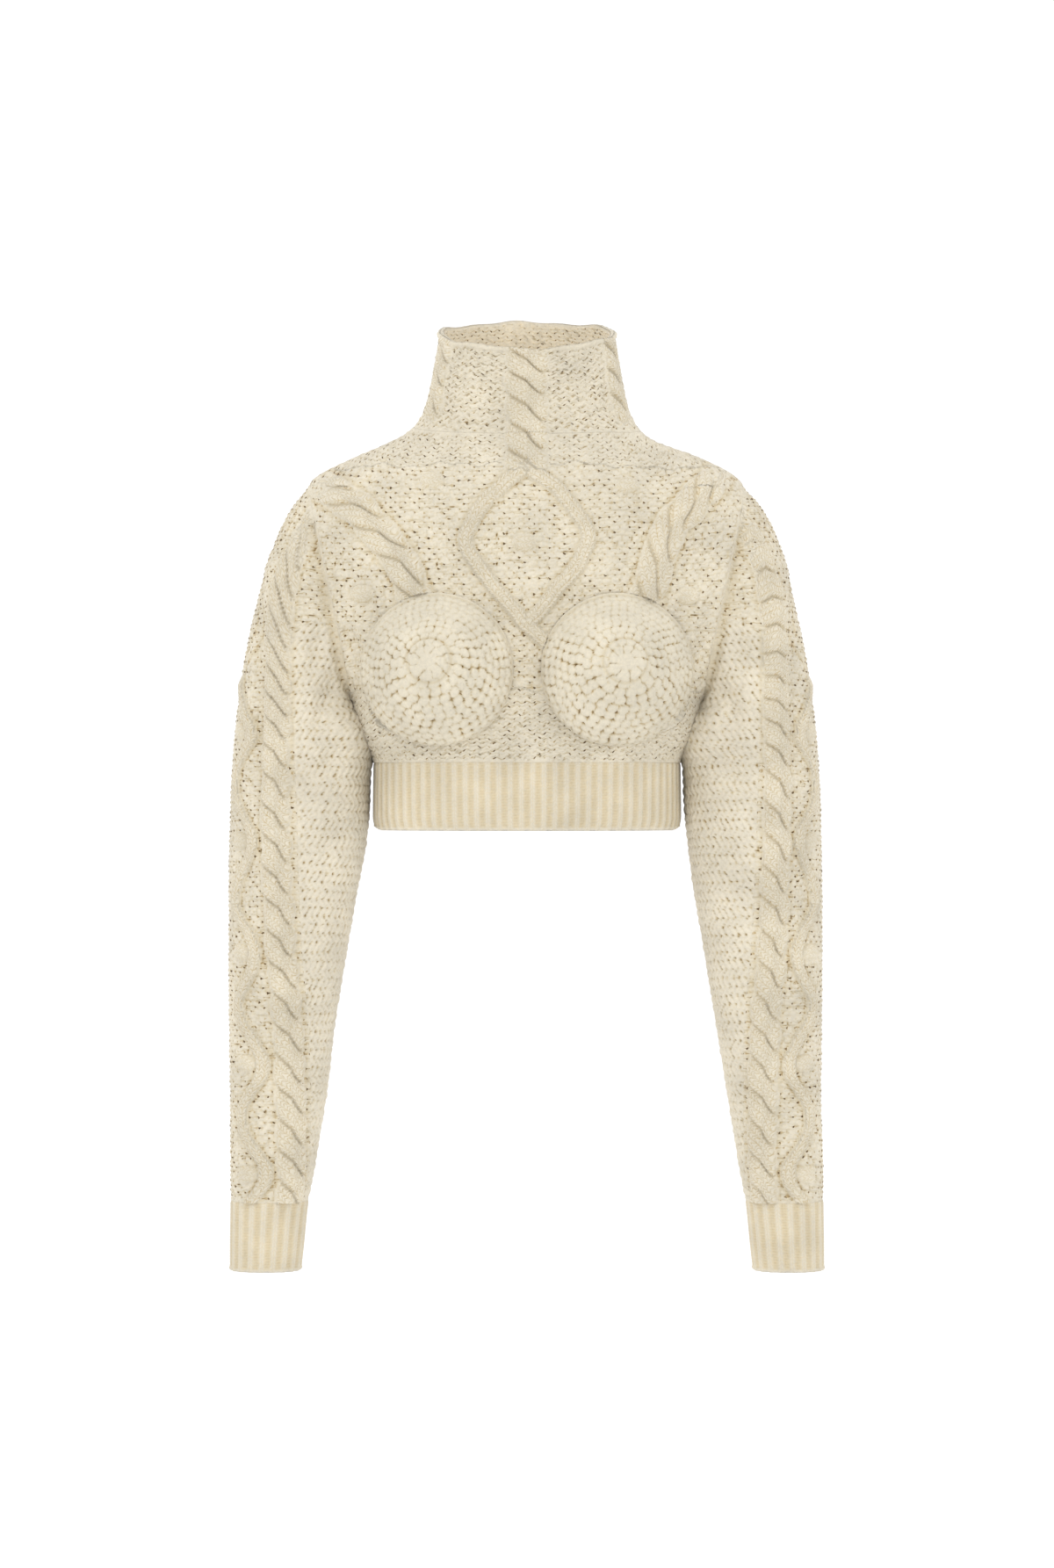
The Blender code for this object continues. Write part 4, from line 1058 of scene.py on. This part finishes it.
def rib_wall(node, length, fine, surface, facing, ribs=None, face=None):
    """A ribbed wall, plain inside and level at its free edge, on a surface of height and place round it.

    It is a closed cuff with the given ribs or, where it has a face, half of the hem from side seam to side
    seam. Ribs are equally wide in each row: eight columns of points to a rib, and two rows to a stitch.
    """
    v_line = np.append(np.arange(0, length - 1.0, RIB_ROW / 2), length)
    around = path_length(surface(v_line[:, None], fine), 1)
    ribs = ribs or int(around[-1, -1] / RIB_PITCH)
    u_line = np.linspace(0, ribs, RIB_CELLS * ribs + 1)
    place = by_row(u_line / ribs * around[:, -1:], around, fine)
    u, v = np.broadcast_arrays(u_line, v_line[:, None])
    points = settle(surface(v, place))
    outward = facing(v, place)
    outward[..., 2] = 0.0
    knit = rib(u, v, length)
    if face:
        knit[..., 0] *= smooth(np.minimum(u, ribs - u), 0.0, 0.25)
        points[..., 2] += 2.0 * smooth(np.abs(points[..., 0]), 125.0, 131.0) * smooth(v, 6.0, 0.0)
        points[..., 1] -= face * LAP
    points[-1, :, 2] += LAP
    numbers = grid_numbers(place.shape, not face)
    rim = 0 if face else None
    piece = wall(node + "_knit", points, unit(outward), knit, RIB_WALL, numbers, (6, 4), RIB, rim)
    finish_piece(piece, node)


def hem(node, face):
    """Half of the ribbed hem."""
    rib_wall(node, HEM_RIB_TOP - HEM_BOTTOM, np.linspace(-1, 1, SAMPLES),
             lambda v, across: body_points(HEM_BOTTOM + v, across, face),
             lambda v, across: body_normals(HEM_BOTTOM + v, across, face), face=face)


def cuff(side, hand):
    """A ribbed cuff, which carries on from the sleeve's last ring."""
    rib_wall("cuff_" + side, STATIONS[-1] - CUFF_AT, np.linspace(0, TURN, SAMPLES),
             lambda v, turn: sleeve_points(STATIONS[-1] - v, turn, hand),
             lambda v, turn: sleeve_normals(STATIONS[-1] - v, turn, hand), ribs=CUFF_RIBS)


# --- collar ---

COLLAR_STITCHES = 55
COLLAR_CELLS = 6


def collar():
    """The funnel collar: purl rounds with a rope cable in front and behind and a slim one at each side."""
    fine = np.linspace(0, COLLAR_TOP, SAMPLES // 2 + 1)
    climbed = path_length(body_points(fine, 0.0, -1), 0)
    v_line = np.append(np.arange(0, climbed[-1] - 0.5, COLLAR_ROW / ROW_CELLS), climbed[-1])
    rows = np.interp(v_line, climbed, fine)
    half = np.linspace(0, 1, 201)
    quarter = len(half) - 1
    across_fine = np.concatenate([half, half[-2::-1], -half[1:], -half[-2::-1]])
    face_fine = np.repeat([-1, 1, 1, -1], [quarter + 1, quarter, quarter, quarter])
    both = [body_points(rows[:, None], across_fine, face) for face in (-1, 1)]
    ring = np.where((face_fine < 0)[None, :, None], both[0], both[1])
    around = path_length(ring, 1)
    u_line = np.linspace(0, COLLAR_STITCHES, COLLAR_CELLS * COLLAR_STITCHES + 1)
    share = u_line / COLLAR_STITCHES
    points = np.stack([by_row(share * around[:, -1:], around, ring[..., k]) for k in range(3)], -1)
    sideways = np.concatenate([points[:, -2:-1], points, points[:, 1:2]], 1)
    sideways = sideways[:, 2:] - sideways[:, :-2]
    outward = unit(np.cross(sideways, np.gradient(points, axis=0)))
    outward = outward * np.sign(np.sum(outward * points, -1).mean())
    u, v = np.broadcast_arrays(u_line, v_line[:, None])
    length = around[:, -1:]
    off = ((share + 0.5) % 1.0 - 0.5) * length
    back_off = (share - 0.5) * length
    top = v_line[-1] - v
    knit = seam(fine_purl(u * STITCH, v, 21.0), smooth(v, 0.0, 2.0) * smooth(top, 2.4, 5.0))
    ropes = [(off, COLLAR_ROPE, 0.0), (back_off, COLLAR_ROPE, 0.0)]
    for hand in (-1, 1):
        ropes.append((off - hand * SIDE_ROPE_ACROSS * length / 4, SIDE_ROPE, 7.0))
    for away, size, sink in ropes:
        cable = rope(away, -v, size)
        cable[..., 0] -= sink * smooth(v, 16.0, 1.0)
        knit = over(knit, cable)
    round_off = 1 - arch(1 - capped(top / 2.4))
    bound_off = smooth(top, 6.0, 3.4) * (1.5 + 0.5 * np.cos(TURN * u))
    knit[..., 0] = np.minimum(knit[..., 0], 1.0 + 4.5 * smooth(top, 1.5, 6.0))
    knit[..., 0] += bound_off - 1.6 * round_off
    sunk = RIM_DROP[0] + RIM_DROP[1] * capped(np.cos(TURN * share)) ** 1.5
    sunk = sunk + 1.0 * np.sin(TURN * share * 5 + 0.8) + 0.6 * np.sin(TURN * share * 11)
    points[..., 2] -= sunk * smooth(v, 20.0, v_line[-1]) ** 1.5
    points = settle(points)
    points[0, :, 2] -= LAP
    inside = fine_purl(u * STITCH, v, 33.0)
    reverse = smooth(np.abs(back_off), 20.0, 14.0)
    inside[..., 0] += reverse * 1.2 * np.cos(TURN * back_off / 12.0)
    inside = seam(inside, smooth(top, 1.0, 3.0))
    # The inside's painted shade is kept lighter than the outside's.
    inside[..., 1] = capped(0.6 * inside[..., 1] - 0.04)
    thick = WALL + inside[..., :1] - 1.4 * round_off[..., None]
    numbers = grid_numbers(v.shape)
    piece = wall("collar_knit", points, outward, knit, thick, numbers, (2, 2), KNIT, None, inside)
    finish_piece(piece, "collar")


# --- cups ---

CUP_ROUNDS = 12
CROCHET_STITCH = 6.6
CUP_ROW_CELLS = 5
CUP_COLUMNS = 300
JUST_INSIDE = 0.9985  # share of the way to the rim where the dome's slopes are still taken


def chest(x, z):
    """Points of the front on given half widths and heights, where its rings are level."""
    ring = body_ring(z, -1)
    inwards = capped(1 - (np.abs(x) / ring["width"]) ** ring["power"]) ** (1 / ring["power"])
    return np.stack([x, -ring["depth"] * inwards - bust(x, z), z], -1)


def crochet(share, angle, salt):
    """Rounds of crochet: rounded pebbles of yarn, more in each round outwards, thin lines between."""
    best = np.zeros_like(share)
    position = share * CUP_ROUNDS
    for step in (-1, 0, 1):
        line = np.clip(np.floor(position) + step, 0, CUP_ROUNDS - 1)
        count = np.maximum(np.round(TURN * (line + 0.5) / CUP_ROUNDS * CUP_RADIUS / CROCHET_STITCH), 4)
        across = position - line - 0.5
        place = angle / TURN * count + 0.5 * np.mod(line, 2) + 0.18 * across + chance(line, line, salt + 4)
        stitch = np.round(place)
        named = np.mod(stitch, count)
        along = place - stitch + stray(line, named, salt, 0.10)
        across = across + stray(line, named, salt + 1, 0.12)
        size = 0.88 + 0.22 * chance(line, named, salt + 2)
        body = capped(1 - np.abs(along / 0.56) ** 2.5 - np.abs(across / 0.62) ** 2.5)
        best = np.maximum(best, size * np.sqrt(body))
    return best


def cup(side, hand):
    """A round crocheted cup on the front's dome, worked in rounds from a plain flat centre out to its rim."""
    name = "cup_" + side
    angle_line = np.linspace(0, TURN, CUP_COLUMNS + 1)
    way = np.stack([np.cos(angle_line), np.sin(angle_line)], -1)
    start = np.array([hand * BOSS_CENTRE[0], BOSS_CENTRE[1]])
    middle = np.array([hand * CUP_CENTRE[0], CUP_CENTRE[1]])
    toward = (start - middle) @ way.T
    far = -toward + np.sqrt(toward**2 - ((start - middle) ** 2).sum() + CUP_RADIUS**2)
    fine = np.sin(np.linspace(0, math.pi / 2, SAMPLES // 5 + 1))[:, None]
    reach = far[:, None] * way
    plan = start + fine[..., None] * reach
    length = path_length(chest(plan[..., 0], plan[..., 1]), 0)
    share_line = np.linspace(0, 1, CUP_ROUNDS * CUP_ROW_CELLS + 1)
    out = by_row(share_line * length[-1][:, None], length.T, fine[:, 0]).T
    place = start + out[..., None] * reach
    x, z = place[..., 0], place[..., 1]
    points = chest(x, z)
    near = start + (place - start) * JUST_INSIDE
    outward = normals(chest, near[..., 0], near[..., 1], 0.25, 0.25)
    outward = outward * -np.sign(outward[..., 1:2])
    share, angle = np.broadcast_arrays(share_line[:, None], angle_line)
    middle_round = smooth(share, 0.11, 0.04)
    bumps = crochet(share, angle, 50.0 + hand) * (1 - middle_round) + 0.8 * middle_round
    from_boss = np.hypot(x - start[0], z - start[1])
    boss = BOSS_RISE * smooth(from_boss, BOSS_RADIUS + 1.4, BOSS_RADIUS - 1.4)
    # Painted shade in a ring round the boss's edge.
    ring = bell(from_boss - BOSS_RADIUS - 1.4, 1.1)
    rim = length[-1] * (1 - share)
    cord = arch((rim - 1.4) / 1.5)
    rim_fade = smooth(rim, 2.0, 5.0)
    thick = (CUP_WALL - 1.0) * smooth(rim, 0.0, 10.0)
    # Less relief and less painted shade towards the top and the middle.
    calm = (1 - 0.50 * smooth(z - CUP_CENTRE[1], 8.0, 44.0)) * (1 - 0.35 * smooth(share, 0.42, 0.18))
    height = CUP_GAP + 0.5 + thick + 3.1 * calm * (bumps - 0.55) * rim_fade + boss + 0.9 * cord
    # Painted shade between the pebbles, deep in random pits, near the rim beside its cord, along a groove
    # line 4.4 mm in from the rim, and round the boss.
    pits = chance(np.round(3 * share * CUP_ROUNDS), np.round(angle * 30), 9.0) ** 3
    holes_between = (0.10 + 1.3 * pits) * smooth(bumps, 0.36, 0.08)
    between = 0.02 + calm * (0.58 * smooth(bumps, 0.70, 0.40) + holes_between)
    painted_groove_shade = bell(rim - 4.4, 0.8)
    depth = between * rim_fade + 0.25 * (1 - rim_fade) * (1 - cord) + 0.32 * ring + 0.25 * painted_groove_shade
    depth = capped(depth)
    knit = layer(height, depth, x, z)
    numbers = grid_numbers(x.shape)
    numbers[0] = numbers[0, 0]
    piece = wall(name + "_crochet", points, outward, knit, -CUP_GAP, numbers, (5, 6), CROCHET, None)
    finish_piece(piece, name)


body_panel("front", -1, front_knit, FRONT_FOLDS, FRONT_CELLS)
body_panel("back", 1, back_knit, BACK_FOLDS, BACK_CELLS)
collar()
hem("hem_rib_front", -1)
hem("hem_rib_back", 1)
for side, hand in (("left", -1), ("right", 1)):
    sleeve(side, hand)
    cuff(side, hand)
    cup(side, hand)


# --- studio ---

CAMERA_DISTANCE = 4.0
VIEW_MIDDLE_Z = -0.2983
VIEW_HEIGHT = 1.3566
SENSOR = 36.0
FLOOR_Z = -0.90
FLOOR_HALF = 40.0
SURROUND = 1.06

# Round soft lights: place, the point in the middle plane that they face, size in metres, watts and colour.
# The small lamp in the neck stands for the light that pale cloth passes on inside.
LIGHTS = {
    "key": ((-2.0, -2.6, 1.6), (0.0, -0.2), 2.2, 11.0, (1.0, 0.99, 0.98)),
    "top": ((-0.3, -1.9, 2.6), (0.0, 0.0), 2.0, 10.5, (1.0, 0.99, 0.97)),
    "fill": ((2.2, -2.9, 0.8), (0.0, -0.2), 2.0, 5.5, (1.0, 1.0, 1.0)),
    "front_left": ((-1.7, -4.2, -0.9), (0.0, -0.4), 1.6, 8.0, (1.0, 1.0, 1.0)),
    "front_right": ((1.7, -4.2, -0.9), (0.0, -0.4), 1.6, 8.0, (1.0, 1.0, 1.0)),
    "back_left": ((-2.6, 1.8, 0.6), (0.0, -0.3), 2.0, 10.0, (1.0, 1.0, 1.0)),
    "back_right": ((2.6, 1.8, 0.6), (0.0, -0.3), 2.0, 10.0, (1.0, 1.0, 1.0)),
    "in_neck": ((0.0, -0.02, -0.16), (0.05, 0.1), 0.08, 0.35, (1.0, 0.94, 0.84)),
}


def studio():
    """A white floor far below the hem, wide soft lights on every side, and an even white surround."""
    scene = bpy.context.scene
    camera_data = bpy.data.cameras.new("camera")
    camera_data.sensor_fit = "VERTICAL"
    camera_data.sensor_height = SENSOR
    camera_data.lens = SENSOR * CAMERA_DISTANCE / VIEW_HEIGHT
    camera = show("camera", camera_data, (0.0, -CAMERA_DISTANCE, VIEW_MIDDLE_Z))
    camera.rotation_euler = (math.pi / 2, 0.0, 0.0)
    scene.camera = camera
    for name, (place, aim, size, power, tint) in LIGHTS.items():
        light_data = bpy.data.lights.new(name, "AREA")
        light_data.shape = "DISK"
        light_data.size = size
        light_data.energy = power
        light_data.color = tint
        light = show(name, light_data, place)
        light.visible_camera = False
        way = Vector((0.0, *aim)) - Vector(place)
        light.rotation_euler = way.to_track_quat("-Z", "Y").to_euler()
    world = bpy.data.worlds.new("surround")
    scene.world = world
    world.use_nodes = True
    background = world.node_tree.nodes["Background"]
    background.inputs["Color"].default_value = (1.0, 1.0, 1.0, 1.0)
    background.inputs["Strength"].default_value = SURROUND
    scene.view_settings.view_transform = "Standard"
    floor_mesh = bpy.data.meshes.new("floor")
    corners = [(FLOOR_HALF * x, FLOOR_HALF * y, FLOOR_Z) for x, y in ((-1, -1), (1, -1), (1, 1), (-1, 1))]
    floor_mesh.from_pydata(corners, [], [(0, 1, 2, 3)])
    paint = bpy.data.materials.new("matt_white_floor")
    paint.use_nodes = True
    surface = paint.node_tree.nodes["Principled BSDF"]
    surface.inputs["Base Color"].default_value = linear("#FDFDFD")
    surface.inputs["Roughness"].default_value = 0.9
    floor_mesh.materials.append(paint)
    floor = show("floor", floor_mesh)


studio()
